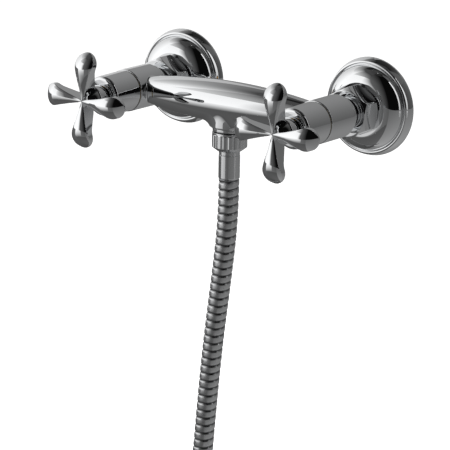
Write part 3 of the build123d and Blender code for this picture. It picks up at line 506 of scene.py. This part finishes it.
nipple = {"around": 128, "profile": [
    (6.0, -5.0, 0.3), (8.5, -5.0, 0.3), (8.5, -15.95, 0),  # shank in the boss
    (11.2, -15.95, 0.45), (11.2, -18.3, 0.7),  # flange, which shows
    (9.58, -18.3, 0.2), (9.58, -25.6, 0.4),  # core of the hidden thread
    (7.65, -25.6, 0.2), (7.65, -9.9, 0), (6.0, -9.9, 0),
]}
hoseNut = {"radius": 11.5, "flutes": 18, "fluteDepth": 0.5, "around": 288, "profile": [
    (10.53, -18.8, 0), (11.4, -18.8, 0.35), (11.4, -20.1, 0.25),  # rim
    (11.5, -20.7, 0.25), (11.5, -28.7, 0.5),  # fluted grip
    (8.1, -31.25, 0.3), (7.5, -31.4, 0.1), (6.7, -31.4, 0),  # taper and foot, drawn in round the insert
    (6.7, -29.0, 0), (10.53, -29.0, 0),  # seat inside
]}


def makeHoseNut():
    # Its profile carried round the outlet's axis, fluted between the rim and the taper.
    def corners(angle):
        return fluted(hoseNut["profile"], hoseNut, angle)
    turnedPiece("hoseSwivelNut", corners, underMixer, hoseNut["around"], "satin", "hose_nut")


# The upper ferrule's heights are those of its wide and its narrow end; the lower one ends where the hose does
ferrule = {"radius": 7.0, "rim": 6.88, "groove": 6.58, "grooveSteps": (0.15, 0.55, 0.8), "edge": 1.0,
           "end": 6.25, "bore": 6.45, "hole": 4.65, "neck": 2.5, "upperEnds": (-31.5, -50.3),
           "upperSeam": 2.0, "lowerLength": 16.0, "lowerSeam": 1.4, "around": 128}


def makeFerrule(name, wide, end, seam, place, node):
    # Crimped sleeve: a thin ring seam near its wide end and an edge turned in on the hose.
    f = ferrule
    way = 1 if end > wide else -1
    ring, neck = wide + way * seam, wide + way * f["neck"]
    grooveTop, grooveFoot, grooveEnd = (ring + way * step for step in f["grooveSteps"])
    corners = [
        (f["bore"], wide, 0), (f["rim"], wide, 0.2), (f["rim"], ring, 0.1), (f["groove"], grooveTop, 0.1),
        (f["groove"], grooveFoot, 0.1), (f["radius"], grooveEnd, 0.2),
        (f["radius"], end - way * f["edge"], 0.9), (f["end"], end, 0.2), (f["hole"], end, 0),
        (f["hole"], neck, 0), (f["bore"], neck, 0),
    ]
    return turnedPiece(name, corners, place, f["around"], "satin", node)


# Heights are measured up from the cone nut's mouth; its top is the gap below the end of the hose
coneNut = {"gap": 16.1, "length": 23.0, "radius": 11.9, "flutes": 12, "fluteDepth": 0.55,
           "thread": (0.6, 8.6), "threadDepth": 0.55, "around": 192, "outside": [
    (6.7, 23.0, 0), (8.8, 23.0, 0.5), (11.35, 11.0, 0.5),  # neck round the insert, and cone
    (11.9, 8.0, 0.8), (11.9, 1.6, 0.4),  # fluted grip
    (11.7, 1.0, 0.3), (11.6, 0.0, 0.4), (10.63, 0.0, 0.2),  # rim of the mouth
], "inside": [
    (9.9, 8.7, 0), (9.9, 12.5, 0), (6.7, 12.5, 0),  # the washer's seat above the thread
]}


def makeConeNut():
    # Conical grip nut: its profile carried round, fluted, with a half-inch thread inside its mouth.
    c = coneNut
    bottom, depth = hoseTail[2] - c["gap"] - c["length"], c["threadDepth"]
    low, high = (bottom + height for height in c["thread"])
    outside, inside = ([(r, bottom + height, rounding) for r, height, rounding in c[part]]
                       for part in ("outside", "inside"))

    def corners(angle):
        thread = threadRows(halfInch["bore"] - depth, 1, low, high, depth, angle)
        return [*fluted(outside, c, angle), *thread, *inside]
    return turnedPiece("coneNutShell", corners, underHose, c["around"], "satin", "cone_nut",
                       "swivel_nut")


turnedPiece("outletNippleRing", nipple["profile"], underMixer, nipple["around"], "satin", "outlet_nipple")
makeHoseNut()
makeFerrule("upperFerrule", *ferrule["upperEnds"], ferrule["upperSeam"], underMixer, "hose_ferrule")
lowerEnds = hoseTail[2] - ferrule["lowerLength"], hoseTail[2]
lowerFerrule = makeFerrule("lowerFerrule", *lowerEnds, ferrule["lowerSeam"], underHose, "end_ferrule")
coneNutPiece = makeConeNut()
print("hose and its fittings made")


# Wall side: plates, unions, nuts and tails

plate = {"radius": 32.0, "depth": 15.0, "wall": 1.4, "crown": 17.5, "bulge": 2.3, "domePoints": 22,
         "crease": (27.8, 5.8), "creaseRound": 0.4, "lipInner": (28.3, 6.1), "lipOuter": (30.3, 6.0),
         "lipBulge": 0.4, "rimPoints": 10, "foot": (32.0, 1.0), "flankBulge": 0.15, "insideFoot": 3.6,
         "insideStep": (27.4, 3.9), "hole": 13.52, "around": 160}


def makePlate(side, place):
    # A dome down to a crease, a rounded lip, a leaning outer flank, and an inner wall one thickness inside.
    p = plate
    wall, count = p["wall"], p["rimPoints"]
    dome = arcBetween((p["crown"], p["depth"]), p["crease"], p["bulge"], p["domePoints"])
    lip = arcBetween(p["lipInner"], p["lipOuter"], p["lipBulge"], count)
    flank = arcBetween(p["lipOuter"], p["foot"], p["flankBulge"], count)
    inner = [(r - wall, along - wall, 0) for r, along, _ in dome[::-1][::2]]
    corners = [
        (p["hole"], p["depth"], 0.2), (p["crown"], p["depth"], 0.5), *dome, (*p["crease"], p["creaseRound"]),
        (*p["lipInner"], 0), *lip, (*p["lipOuter"], 0), *flank, (*p["foot"], 0),
        (p["radius"], 0, 0.15), (p["radius"] - wall, 0, 0.15), (p["radius"] - wall, p["insideFoot"], 0.4),
        (*p["insideStep"], 0), *inner, (p["crown"] - wall, p["depth"] - wall, 0.3),
        (p["hole"], p["depth"] - wall, 0.2),
    ]
    turnedPiece(f"{side}PlateShell", corners, place, p["around"], "chrome", f"{side}_wall_plate")


def hexRadius(angle, flats, turn, sharpness):
    # Distance from the axis to a hexagon's side; the power mean of the six sides rounds its corners.
    sides = np.radians(turn + 30 + 60 * np.arange(6))
    reach = np.maximum(np.cos(angle[:, None] - sides), 0)
    return flats / 2 / (reach ** sharpness).sum(axis=1) ** (1 / sharpness)


nut = {"rear": 15.4, "front": 31.0, "flats": 30.0, "turn": 27.0, "sharpness": 90, "endRadius": 14.72,
       "rearChamfer": 3.0, "frontChamfer": 1.9, "bore": 13.27, "lip": 27.4, "lipBore": 10.1, "around": 288}


def makeUnionNut(side, place):
    # Hexagon nut whose ends are cones: the flats end where the cone reaches them, in low arcs.
    n = nut
    corner = n["flats"] / np.sqrt(3)

    def corners(angle):
        reach = hexRadius(angle, n["flats"], n["turn"], n["sharpness"])
        share = np.clip((reach - n["endRadius"]) / (corner - n["endRadius"]), 0, 1)
        return [
            (n["bore"], n["rear"], 0.2), (n["endRadius"], n["rear"], 0.3),
            (reach, n["rear"] + n["rearChamfer"] * share, 0.3),
            (reach, n["front"] - n["frontChamfer"] * share, 0.3),
            (n["endRadius"], n["front"], 0.35), (n["lipBore"], n["front"], 0.5),
            (n["lipBore"], n["lip"], 0), (n["bore"], n["lip"], 0),
        ]
    turnedPiece(f"{side}HexNut", corners, place, n["around"], "chrome", f"{side}_union_nut", crease=30)


tail = {"around": 144, "profile": [
    (6.0, 24.8, 0.3), (12.0, 24.8, 0.3), (12.0, 27.4, 0.2), (9.8, 27.4, 0.2),  # head behind the nut's lip
    (9.8, 36.0, 0.35), (12.6, 36.0, 0.5), (12.6, 39.4, 0.15),  # neck and collar, which show
    (10.48, 39.4, 0), (10.48, 43.9, 0.4), (6.0, 43.9, 0.4),  # thread in the valve cylinder
]}
union = {"thread": (-15.6, -0.6), "threadDepth": 0.95, "key": 13.0, "keySharpness": 200, "keyLead": 0.3,
         "keyRear": 14.8, "front": 22.8, "bore": 6.0, "around": 96,
         "rearEnd": [(6.0, -16.0, 0.5), (9.2, -16.0, 0.3)],
         "collar": [(10.0, 0.0, 0), (11.8, 0.0, 0.3), (11.8, 6.6, 0.3),
                    (13.22, 6.6, 0.4), (13.22, 22.8, 0.6)]}


def makeWallUnion(side, place):
    # Threaded at the wall end, with a collar under the plate; the key's hexagon is sunk in the front end.
    u = union

    def corners(angle):
        key = hexRadius(angle, u["key"], 0.0, u["keySharpness"])
        thread = threadRows(halfInch["pin"], -1, *u["thread"], u["threadDepth"], angle)
        return [
            *u["rearEnd"], *thread, *u["collar"],
            (key + u["keyLead"], u["front"], 0.3), (key, u["keyRear"], 0), (u["bore"], u["keyRear"], 0.2),
        ]
    turnedPiece(f"{side}UnionThread", corners, place, u["around"], "brass", f"{side}_wall_union")


for side, x in inletX.items():
    axis = aboutValve(x)
    makePlate(side, axis)
    makeUnionNut(side, axis)
    turnedPiece(f"{side}TailRing", tail["profile"], axis, tail["around"], "chrome", f"{side}_inlet_tail")
    makeWallUnion(side, axis)
print("wall side made")


# Body: barrel-shaped bar and outlet boss in one surface, and the valve cylinders

valveRadius = 14.0
valve = {"around": 160, "profile": [
    (10.53, 39.4, 0.2), (valveRadius, 39.4, 0.7), (valveRadius, 65.3, 0.7),  # outside, with rounded edges
    (11.73, 65.3, 0.15), (11.73, 64.1, 0), (10.53, 64.1, 0), (10.53, 49.0, 0),  # chamber of the discs
    (5.0, 49.0, 0), (5.0, 43.9, 0), (10.53, 43.9, 0),  # water way and rear thread
]}
# The inside rows are (distance from the bar's middle, radius) and hidden; the boss's edge is (radius, height)
bar = {"middle": 14.0, "end": 9.4, "half": inletX["cold"], "nearEnd": 60.0, "rootRound": 0.8, "wingRows": 26,
       "inside": ((68.0, 9.0), (69.0, 6.0), (69.0, 0.0)), "patch": 22.0, "patchRows": 41, "boss": 12.5,
       "bossWallEnd": -15.3, "blend": 9.0, "rings": 34, "halvings": 40, "nearest": 5.0, "farthest": 45.0,
       "bossEdge": ((12.3, -15.8), (11.8, -16.0), (9.6, -16.0), (8.6, -16.0), (8.6, -4.0), (0.0, -4.0)),
       "around": 128}


def barRadius(x):
    # Barrel: the middle radius less the sag of a wide circle over the length.
    half, sag = bar["half"] - valveRadius, bar["middle"] - bar["end"]
    wide = (half ** 2 + sag ** 2) / (2 * sag)
    return bar["middle"] - wide + np.sqrt(wide ** 2 - x ** 2)


def saddle(radius, turn):
    # Where a line along the bar at this radius and turn meets the valve cylinder.
    return bar["half"] - np.sqrt(valveRadius ** 2 - (radius * np.cos(turn)) ** 2)


def barPoint(x, radius, turn):
    # Turn is measured from straight down towards the user.
    return np.stack([x + 0 * turn, -barOut - radius * np.sin(turn), -radius * np.cos(turn)], axis=-1)


def barWing(way, turn):
    # From the patch's edge to the saddle, a quarter-round root on the valve cylinder, then into it and shut.
    patch, rootRound = bar["patch"], bar["rootRound"]
    reach = saddle(barRadius(bar["nearEnd"]), turn)
    share = np.linspace(0, 1, bar["wingRows"])[:, None]
    x = patch + (reach - rootRound - patch) * share
    quarter = np.radians(np.linspace(15, 90, 6))[:, None]
    radius = barRadius(reach) + rootRound * (1 - np.cos(quarter))
    root = saddle(radius, turn) - rootRound * (1 - np.sin(quarter))
    inside = np.array(bar["inside"])
    return np.concatenate([
        barPoint(way * x, barRadius(x), turn), barPoint(way * root, radius, turn),
        barPoint(way * inside[:, :1], inside[:, 1:] + 0 * turn, turn),
    ])


def bossDistance(point):
    # Smooth union of the bar and an upright cylinder: where both are near, the surface moves out by the
    # square of the overlap, less where the two walls run alongside each other.
    x, y, z = point[..., 0], point[..., 1] + barOut, point[..., 2]
    fromBar, fromBoss = np.hypot(y, z), np.hypot(x, y)
    toBar = fromBar - barRadius(np.clip(x, -bar["nearEnd"], bar["nearEnd"]))
    toBoss = fromBoss - bar["boss"]
    alongside = y ** 2 / (fromBar * fromBoss + tiny)
    width = bar["blend"] * (1 - alongside) + 1e-6
    overlap = np.clip(1 - np.abs(toBar - toBoss) / width, 0, 1)
    return np.minimum(toBar, toBoss) - overlap ** 2 * width / 4


def bossPatch(turn):
    # Rings from the patch's rectangle on the bar down to the boss's edge: each point is where a ray from
    # the bar's middle leaves the smooth union, found by halving.
    patch, patchRadius = bar["patch"], barRadius(bar["patch"])
    low = turn[np.cos(turn) > -tiny]
    low = np.concatenate([low[low > np.pi], low[low <= np.pi]])
    x = np.linspace(-patch, patch, bar["patchRows"])
    edge = np.concatenate([
        barPoint(x, barRadius(x), np.full(len(x), low[-1])),
        barPoint(patch, patchRadius, low)[::-1][1:-1],
        barPoint(x, barRadius(x), np.full(len(x), low[0]))[::-1],
        barPoint(-patch, patchRadius, low)[1:-1],
    ])
    centre = np.array([0, -barOut, 0])
    ray = (edge - centre) / np.linalg.norm(edge - centre, axis=1, keepdims=True)
    azimuth = np.arctan2(ray[:, 1], ray[:, 0])
    target = underMixer(bar["boss"], azimuth, bar["bossWallEnd"]) - centre
    target /= np.linalg.norm(target, axis=1, keepdims=True)
    share = np.linspace(0, 1, bar["rings"])[:, None, None]
    rays = (1 - share) * ray + share * target
    rays /= np.linalg.norm(rays, axis=-1, keepdims=True)
    near, far = np.full(rays.shape[:2], bar["nearest"]), np.full(rays.shape[:2], bar["farthest"])
    for _ in range(bar["halvings"]):
        middle = (near + far) / 2
        outside = bossDistance(centre + rays * middle[..., None]) > 0
        near, far = np.where(outside, near, middle), np.where(outside, middle, far)
    rings = centre + rays * near[..., None]
    rings[0] = edge
    lower = [underMixer(radius, azimuth, height)[None] for radius, height in bar["bossEdge"]]
    return np.concatenate([rings, *lower])


def makeBody():
    # The bar's two wings, the roof between them and the patch with the boss share one skin; the valve cylinders
    # are closed shells of their own.
    turn = 2 * np.pi * np.arange(bar["around"]) / bar["around"]
    upper = turn[np.cos(turn) < tiny]
    x = np.linspace(-bar["patch"], bar["patch"], bar["patchRows"])[:, None]
    wings = [(barWing(way, turn), False, True) for way in (1, -1)]
    roof = (barPoint(x, barRadius(x), upper), False, False)
    makePiece("mixerBar", [*wings, roof, (bossPatch(turn), False, True)], finish["chrome"], "mixer",
              ("mixer_body",), crease=50, join=True, weighted=False)
    cylinders = [turned(valve["profile"], aboutValve(inlet), valve["around"]) for inlet in inletX.values()]
    makePiece("valveCylinders", cylinders, finish["chrome"], "mixer", ("mixer_body",))


makeBody()
print("body made")


# Valves: cover sleeves, cross handles and grub screws

# A thin cup over the headwork, slightly wider at its open rear, with a hole in its web for the handle
sleeve = {"around": 160, "profile": [
    (7.0, 87.6, 0.2), (7.0, 90.0, 0.5), (13.0, 90.0, 2.2), (13.55, 66.1, 0.35),  # outside
    (12.35, 66.1, 0.1), (12.35, 67.2, 0), (11.9, 67.2, 0), (11.9, 87.6, 0.6),  # inside
]}
# A petal's rear rises from the hub to the knee and falls to the tip; rest is each handle's turn at rest
handle = {"spigotRear": 88.5, "spigot": 6.4, "hubRear": 93.0, "hubFront": 99.8, "hub": 8.0, "hubEdge": 99.9,
          "heartFront": 110.3, "heartTip": 0.8, "heartTipRear": 110.05, "heartHeight": 10.4, "heartFall": 2.4,
          "reach": 31.5, "tip": 7.2, "flankAngle": 108.5, "rootReach": 3.2, "rootWidth": 1.35, "knee": 20.0,
          "kneeRise": 5.6, "rearEnd": 34.5, "tipRise": 4.5, "rearBlend": 2.0, "edge": 0.4, "rearEdge": 0.6,
          "bevelShare": 0.95, "frontPoints": 27, "bladeRows": 44, "tipRows": 26, "around": 96,
          "rest": {"hot": -3.2, "cold": 0.0}}
# A petal's front: share of its reach, crown radius across it, height over the hub
petalFront = np.array([
    (0.01, 1.2, 10.6), (0.13, 2.4, 10.8), (0.25, 3.7, 11.4), (0.38, 5.6, 12.3), (0.51, 7.6, 13.0),
    (0.65, 9.4, 13.4), (0.76, 10.0, 12.9), (0.87, 10.0, 11.0), (0.95, 10.0, 8.3), (1.005, 10.0, 5.5),
])


def petalWidth(along):
    # Half-width of a petal: a straight root, a wide hollow arc tangent to the tip's circle, then that circle.
    h = handle
    centre = h["reach"] - h["tip"]
    angle = np.radians(h["flankAngle"])
    across = np.array([np.cos(angle), np.sin(angle)])
    joinX, joinY = centre + h["tip"] * across[0], h["tip"] * across[1]
    toRoot = np.array([h["rootReach"] - joinX, h["rootWidth"] - joinY])
    wide = (toRoot @ toRoot) / (2 * toRoot @ across)
    inArc = np.maximum(wide ** 2 - (along - joinX - wide * across[0]) ** 2, 0)
    hollow = joinY + wide * across[1] - np.sqrt(inArc)
    tip = np.sqrt(np.maximum(h["tip"] ** 2 - (along - centre) ** 2, 0))
    root = h["rootWidth"] * along / h["rootReach"]
    return np.where(along < h["rootReach"], root, np.where(along < joinX, hollow, tip))


def splineThrough(known, values, wanted):
    # Natural cubic spline: its bends M solve h0 M0 + 2 (h0 + h1) M1 + h1 M2 = 6 (slope1 - slope0) inside.
    step = np.diff(known)
    slope = np.diff(values) / step
    system = np.eye(len(known))
    inner = np.arange(1, len(known) - 1)
    system[inner, inner - 1] = step[:-1]
    system[inner, inner] = 2 * (step[:-1] + step[1:])
    system[inner, inner + 1] = step[1:]
    bend = np.linalg.solve(system, np.concatenate([[0], 6 * np.diff(slope), [0]]))
    k = np.clip(np.searchsorted(known, wanted) - 1, 0, len(step) - 1)
    before, after = wanted - known[k], known[k + 1] - wanted
    cubic = (bend[k] * after ** 3 + bend[k + 1] * before ** 3) / (6 * step[k])
    fromLeft = (values[k] / step[k] - bend[k] * step[k] / 6) * after
    fromRight = (values[k + 1] / step[k] - bend[k + 1] * step[k] / 6) * before
    return cubic + fromLeft + fromRight


def petalGrid(quarter, side):
    # Sections across the petal: a crowned front, a narrow bevel, an upright skirt and a rear that rises off
    # the hub. The front's height is the spine's less the sag of its circle, c - sqrt(c^2 - across^2).
    h = handle
    tipStart = h["reach"] - h["tip"]
    blade = np.linspace(0, tipStart, h["bladeRows"])[:-1]
    tipTurn = np.radians(np.linspace(0, 90, h["tipRows"]))
    along = np.concatenate([blade, tipStart + h["tip"] * np.sin(tipTurn)])
    width = petalWidth(along)
    width[[0, -1]] = 0
    share = along / h["reach"]
    crown = splineThrough(petalFront[:, 0], petalFront[:, 1], share)
    spine = splineThrough(petalFront[:, 0], petalFront[:, 2], share)
    nearby = along + np.linspace(-h["rearBlend"], h["rearBlend"], 9)[:, None]
    stations = [0, h["hub"], h["knee"], h["rearEnd"]]
    rear = np.interp(nearby, stations, [0, 0, h["kneeRise"], h["tipRise"]]).mean(axis=0)
    parts = np.sin(np.radians(np.linspace(-90, 90, h["frontPoints"])))[1:-1] * h["bevelShare"]
    front = []
    for part in [-1, *parts, 1]:
        sag = crown - np.sqrt(crown ** 2 - (part * width) ** 2)
        front.append((part * width, spine - sag, h["edge"] if abs(part) == 1 else 0))
    loop = filletLoop([*front, (width, rear, h["rearEdge"]), (-width, rear, h["rearEdge"])], along)
    across, height = loop[..., 0], loop[..., 1]
    turn = np.radians(90 * quarter + h["rest"][side])
    right = along * np.cos(turn) - across * np.sin(turn)
    up = along * np.sin(turn) + across * np.cos(turn)
    return np.stack([inletX[side] + right, -(h["hubFront"] + height), up], axis=-1), True, False


def makeHandle(side, place):
    # Four petals round a trumpet-shaped heart on a hub, with the spigot behind it. The heart's radius grows
    # from its tip to the hub with a power of the fall.
    h = handle
    fall = np.linspace(0, 1, 14)[1:-1, None]
    radius = h["heartTip"] + (h["hub"] - 2 * h["heartTip"]) * fall ** h["heartFall"]
    heart = np.hstack([radius, h["hubFront"] + h["heartHeight"] * (1 - fall), 0 * fall]).tolist()
    profile = [
        (0.0, h["heartFront"], 0), (h["heartTip"], h["heartTipRear"], 0.3), *heart,
        (h["hub"], h["hubEdge"], 1.4), (h["hub"], h["hubRear"], 0.6), (h["spigot"], h["hubRear"], 0.3),
        (h["spigot"], h["spigotRear"], 0.4), (0.0, h["spigotRear"], 0),
    ]
    grids = [turned(profile, place, h["around"]), *[petalGrid(quarter, side) for quarter in range(4)]]
    makePiece(f"{side}CrossHandle", grids, finish["chrome"], f"{side}_control", (f"{side}_handle",),
              crease=48)


# Heights are measured from the valve's axis
grubScrew = {"inner": -4.2, "outer": -7.98, "radius": 2.0, "key": 2.0, "keySharpness": 200, "socket": -6.4,
             "socketMiddle": -6.2, "around": 48}


def makeGrubScrew(side):
    # Grub screw in the underside of the hub, with its hexagon socket.
    g = grubScrew
    turn = np.radians(handle["rest"][side])
    upright = aboutUpright(0.0, (handle["hubRear"] + handle["hubFront"]) / 2)

    def corners(angle):
        key = hexRadius(angle, g["key"], 0.0, g["keySharpness"])
        return [
            (0.0, g["inner"], 0), (g["radius"], g["inner"], 0.2), (g["radius"], g["outer"], 0.2),
            (key, g["outer"], 0.08), (key, g["socket"], 0), (0.0, g["socketMiddle"], 0),
        ]

    def place(radius, angle, along):
        point = upright(radius, angle, along)
        right = point[..., 0] * np.cos(turn) - point[..., 2] * np.sin(turn)
        up = point[..., 0] * np.sin(turn) + point[..., 2] * np.cos(turn)
        return np.stack([inletX[side] + right, point[..., 1], up], axis=-1)
    turnedPiece(f"{side}GrubScrew", corners, place, g["around"], "steel", f"{side}_handle_screw",
                f"{side}_control")


for side, x in inletX.items():
    axis = aboutValve(x)
    turnedPiece(f"{side}SleeveShell", sleeve["profile"], axis, sleeve["around"], "chrome",
                f"{side}_cover_sleeve")
    makeHandle(side, axis)
    makeGrubScrew(side)
print("valves made")


# CAD nodes that stay: their materials

innerFinish = {"inlet_washer": "rubber", "headwork_seal": "rubber", "seat_seal": "rubber",
               "spindle_seals": "rubber", "fixed_disc": "ceramic", "turning_disc": "ceramic",
               "strainer": "steel", "circlip": "steel", "headwork": "brass", "spindle": "brass"}
middleFinish = {"check_valve_cage": "acetal", "check_valve_poppet": "acetal", "check_valve_spring": "steel",
                "hose_washer": "rubber", "cone_washer": "rubber", "hose_insert": "brassUpright",
                "end_insert": "brassUpright"}


def dressNode(name, material):
    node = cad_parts[name]
    node.data.materials.clear()
    node.data.materials.append(material)


for side in inletX:
    for word, kind in innerFinish.items():
        dressNode(f"{side}_{word}", finish[kind])
for word, kind in middleFinish.items():
    dressNode(word, finish[kind])
print("inner pieces dressed")


# Floor, background and lights

studio = {"floorHeight": -560.0, "floorSize": 12000.0, "floorGlow": 0.6, "ambient": 0.5, "surround": 4000.0,
          "ground": 545.0, "sheetLevel": 1.25, "sheetColumns": 37, "sheetRows": 19}


def glossyBackground(tree):
    # One where the camera, polished metal or glass looks, and nought for all other light.
    path = addNode(tree, "ShaderNodeLightPath")
    seen = addNode(tree, "ShaderNodeMath", {"operation": "MAXIMUM"},
                   {0: (path, "Is Camera Ray"), 1: (path, "Is Glossy Ray")})
    return addNode(tree, "ShaderNodeMath", {"operation": "MAXIMUM"},
                   {0: (seen, "Value"), 1: (path, "Is Transmission Ray")})


def makeFloor():
    # Matt pale paint: an even off-white that keeps the mixer's shadow.
    size, height = studio["floorSize"], studio["floorHeight"]
    mesh = bpy.data.meshes.new("floor")
    corners = [(-size, -size, height), (size, -size, height), (size, size, height), (-size, size, height)]
    mesh.from_pydata(np.array(corners) * mm, [], [(0, 1, 2, 3)])
    look = {"Base Color": linear("#F4F4F4"), "Roughness": 0.7, "Emission Color": (1, 1, 1, 1)}
    material, tree, shader = newMaterial("paleFloor", look)[:3]
    lit = addNode(tree, "ShaderNodeMath", {"operation": "MULTIPLY", 1: studio["floorGlow"]},
                  {0: (glossyBackground(tree), "Value")})
    linkInputs(tree, shader, {"Emission Strength": (lit, "Value")})
    mesh.materials.append(material)
    addObject("floor", mesh)


def makeWorld():
    # White for what the camera and polished metal see, a plain grey for the light on dull surfaces.
    world = bpy.data.worlds.new("studioWorld")
    bpy.context.scene.world = world
    world.use_nodes = True
    tree = world.node_tree
    background = tree.nodes["Background"]
    background.inputs["Color"].default_value = (1, 1, 1, 1)
    level = addNode(tree, "ShaderNodeMapRange", {"To Min": studio["ambient"], "To Max": 1.0},
                    {"Value": (glossyBackground(tree), "Value")})
    linkInputs(tree, background, {"Strength": (level, "Result")})


# Sheets hung round the mixer for its chrome to mirror, each a patch of a wide sphere: azimuth from straight
# in front towards the right, elevation, and the greys of the four corners, lower left, lower right, upper
# left, upper right, each as the sRGB hex pair that its red, green and blue share. Below the horizon a patch
# lies flat, just over the floor.
sheets = {
    "whiteSheet": (-142, -62, -4, 40, "C0 FF A0 F0"),
    "whiteTopSheet": (-142, -62, 40, 62, "50 F0 18 48"),
    "brightSheet": (-62, -30, -4, 34, "FF F4 F0 E8"),
    "gradedSheet": (-30, -16, -4, 34, "F4 58 E8 58"),
    "darkeningSheet": (-16, 26, -4, 34, "58 18 58 18"),
    "brightTopSheet": (-62, -16, 34, 62, "E0 58 30 30"),
    "darkeningTopSheet": (-16, 26, 34, 78, "58 18 20 10"),
    "softSideSheet": (-58, -8, -28, -4, "50 50 FF D0"),
    "blackSheet": (26, 92, -4, 78, "08 08 08 08"),
    "stripSheet": (92, 102, -18, 60, "98 98 FF FF"),
    "stripTopSheet": (92, 102, 60, 78, "10 10 10 10"),
    "sideSheet": (102, 138, -4, 42, "40 58 40 60"),
    "sideTopSheet": (102, 138, 42, 78, "50 60 58 40"),
    "backSheet": (138, 218, -4, 48, "54 78 70 88"),
    "backTopSheet": (138, 218, 48, 72, "50 20 10 20"),
    "darkTopSheet": (218, 262, 62, 72, "10 10 20 28"),
    "crownSheet": (-98, -16, 62, 89, "48 40 30 30"),
    "crownRightSheet": (-16, 138, 78, 89, "30 10 28 28"),
    "crownBackSheet": (138, 262, 72, 89, "30 38 40 40"),
    "groundLeftSheet": (-142, -58, -89, -4, "40 40 48 60"),
    "groundBackSheet": (138, 218, -89, -4, "A0 60 60 80"),
    "groundFrontSheet": (-58, 26, -89, -28, "50 60 50 48"),
    "groundMiddleSheet": (-8, 26, -28, -4, "60 58 60 50"),
    "groundRightSheet": (26, 138, -89, -4, "90 98 58 70"),
}


def makeSheet(name, facts):
    # Tone between the corners: (1 - u)(1 - v) c0 + u (1 - v) c1 + (1 - u) v c2 + u v c3.
    left, right, low, high, greys = facts
    u, v = np.meshgrid(np.linspace(0, 1, studio["sheetColumns"]), np.linspace(0, 1, studio["sheetRows"]))
    azimuth, elevation = np.radians(left + (right - left) * u), np.radians(low + (high - low) * v)
    distance = np.minimum(studio["surround"], studio["ground"] / np.maximum(-np.sin(elevation), 1e-3))
    ring = distance * np.cos(elevation)
    height = distance * np.sin(elevation)
    points = np.stack([ring * np.sin(azimuth), -ring * np.cos(azimuth), height], axis=-1)
    weight = np.stack([(1 - u) * (1 - v), u * (1 - v), (1 - u) * v, u * v], axis=-1)
    tones = weight @ np.array([linear("#" + 3 * grey) for grey in greys.split()])
    mesh = bpy.data.meshes.new(name)
    mesh.from_pydata(points.reshape(-1, 3) * mm, [], gridQuads(u.shape, False, False, 0))
    mesh.attributes.new("tone", "FLOAT_COLOR", "POINT").data.foreach_set("color", tones.ravel())
    material = bpy.data.materials.new(name)
    material.use_nodes = True
    tree = material.node_tree
    tree.nodes.remove(tree.nodes["Principled BSDF"])
    tone = addNode(tree, "ShaderNodeAttribute", {"attribute_name": "tone"})
    glow = addNode(tree, "ShaderNodeEmission", {"Strength": studio["sheetLevel"]}, {"Color": (tone, "Color")})
    linkInputs(tree, tree.nodes["Material Output"], {"Surface": (glow, "Emission")})
    mesh.materials.append(material)
    sheet = addObject(name, mesh)
    sheet.visible_camera = False
    sheet.visible_diffuse = False
    sheet.visible_transmission = False
    sheet.visible_shadow = False


# Lamps: width, height, watts, azimuth, elevation and distance from the mixer
lamps = {
    "softLeft": (1200, 900, 28.0, -70, 28, 1900),
    "softRight": (900, 900, 8.0, 60, 20, 2000),
    "softAbove": (1200, 1200, 14.0, 10, 80, 1900),
}


def makeLamp(name, facts):
    # An area lamp that looks at the mixer's middle.
    width, height, power, azimuth, elevation, distance = facts
    data = bpy.data.lights.new(name, "AREA")
    data.shape = "RECTANGLE"
    data.size, data.size_y = width * mm, height * mm
    data.energy = power
    lamp = addObject(name, data)
    lamp.matrix_world = facing(azimuth, elevation) @ Matrix.Translation((0, 0, distance * mm))
    lamp.visible_glossy = False


makeFloor()
makeWorld()
for name, facts in sheets.items():
    makeSheet(name, facts)
for name, facts in lamps.items():
    makeLamp(name, facts)
bpy.context.scene.view_settings.view_transform = "Standard"
print("studio made")
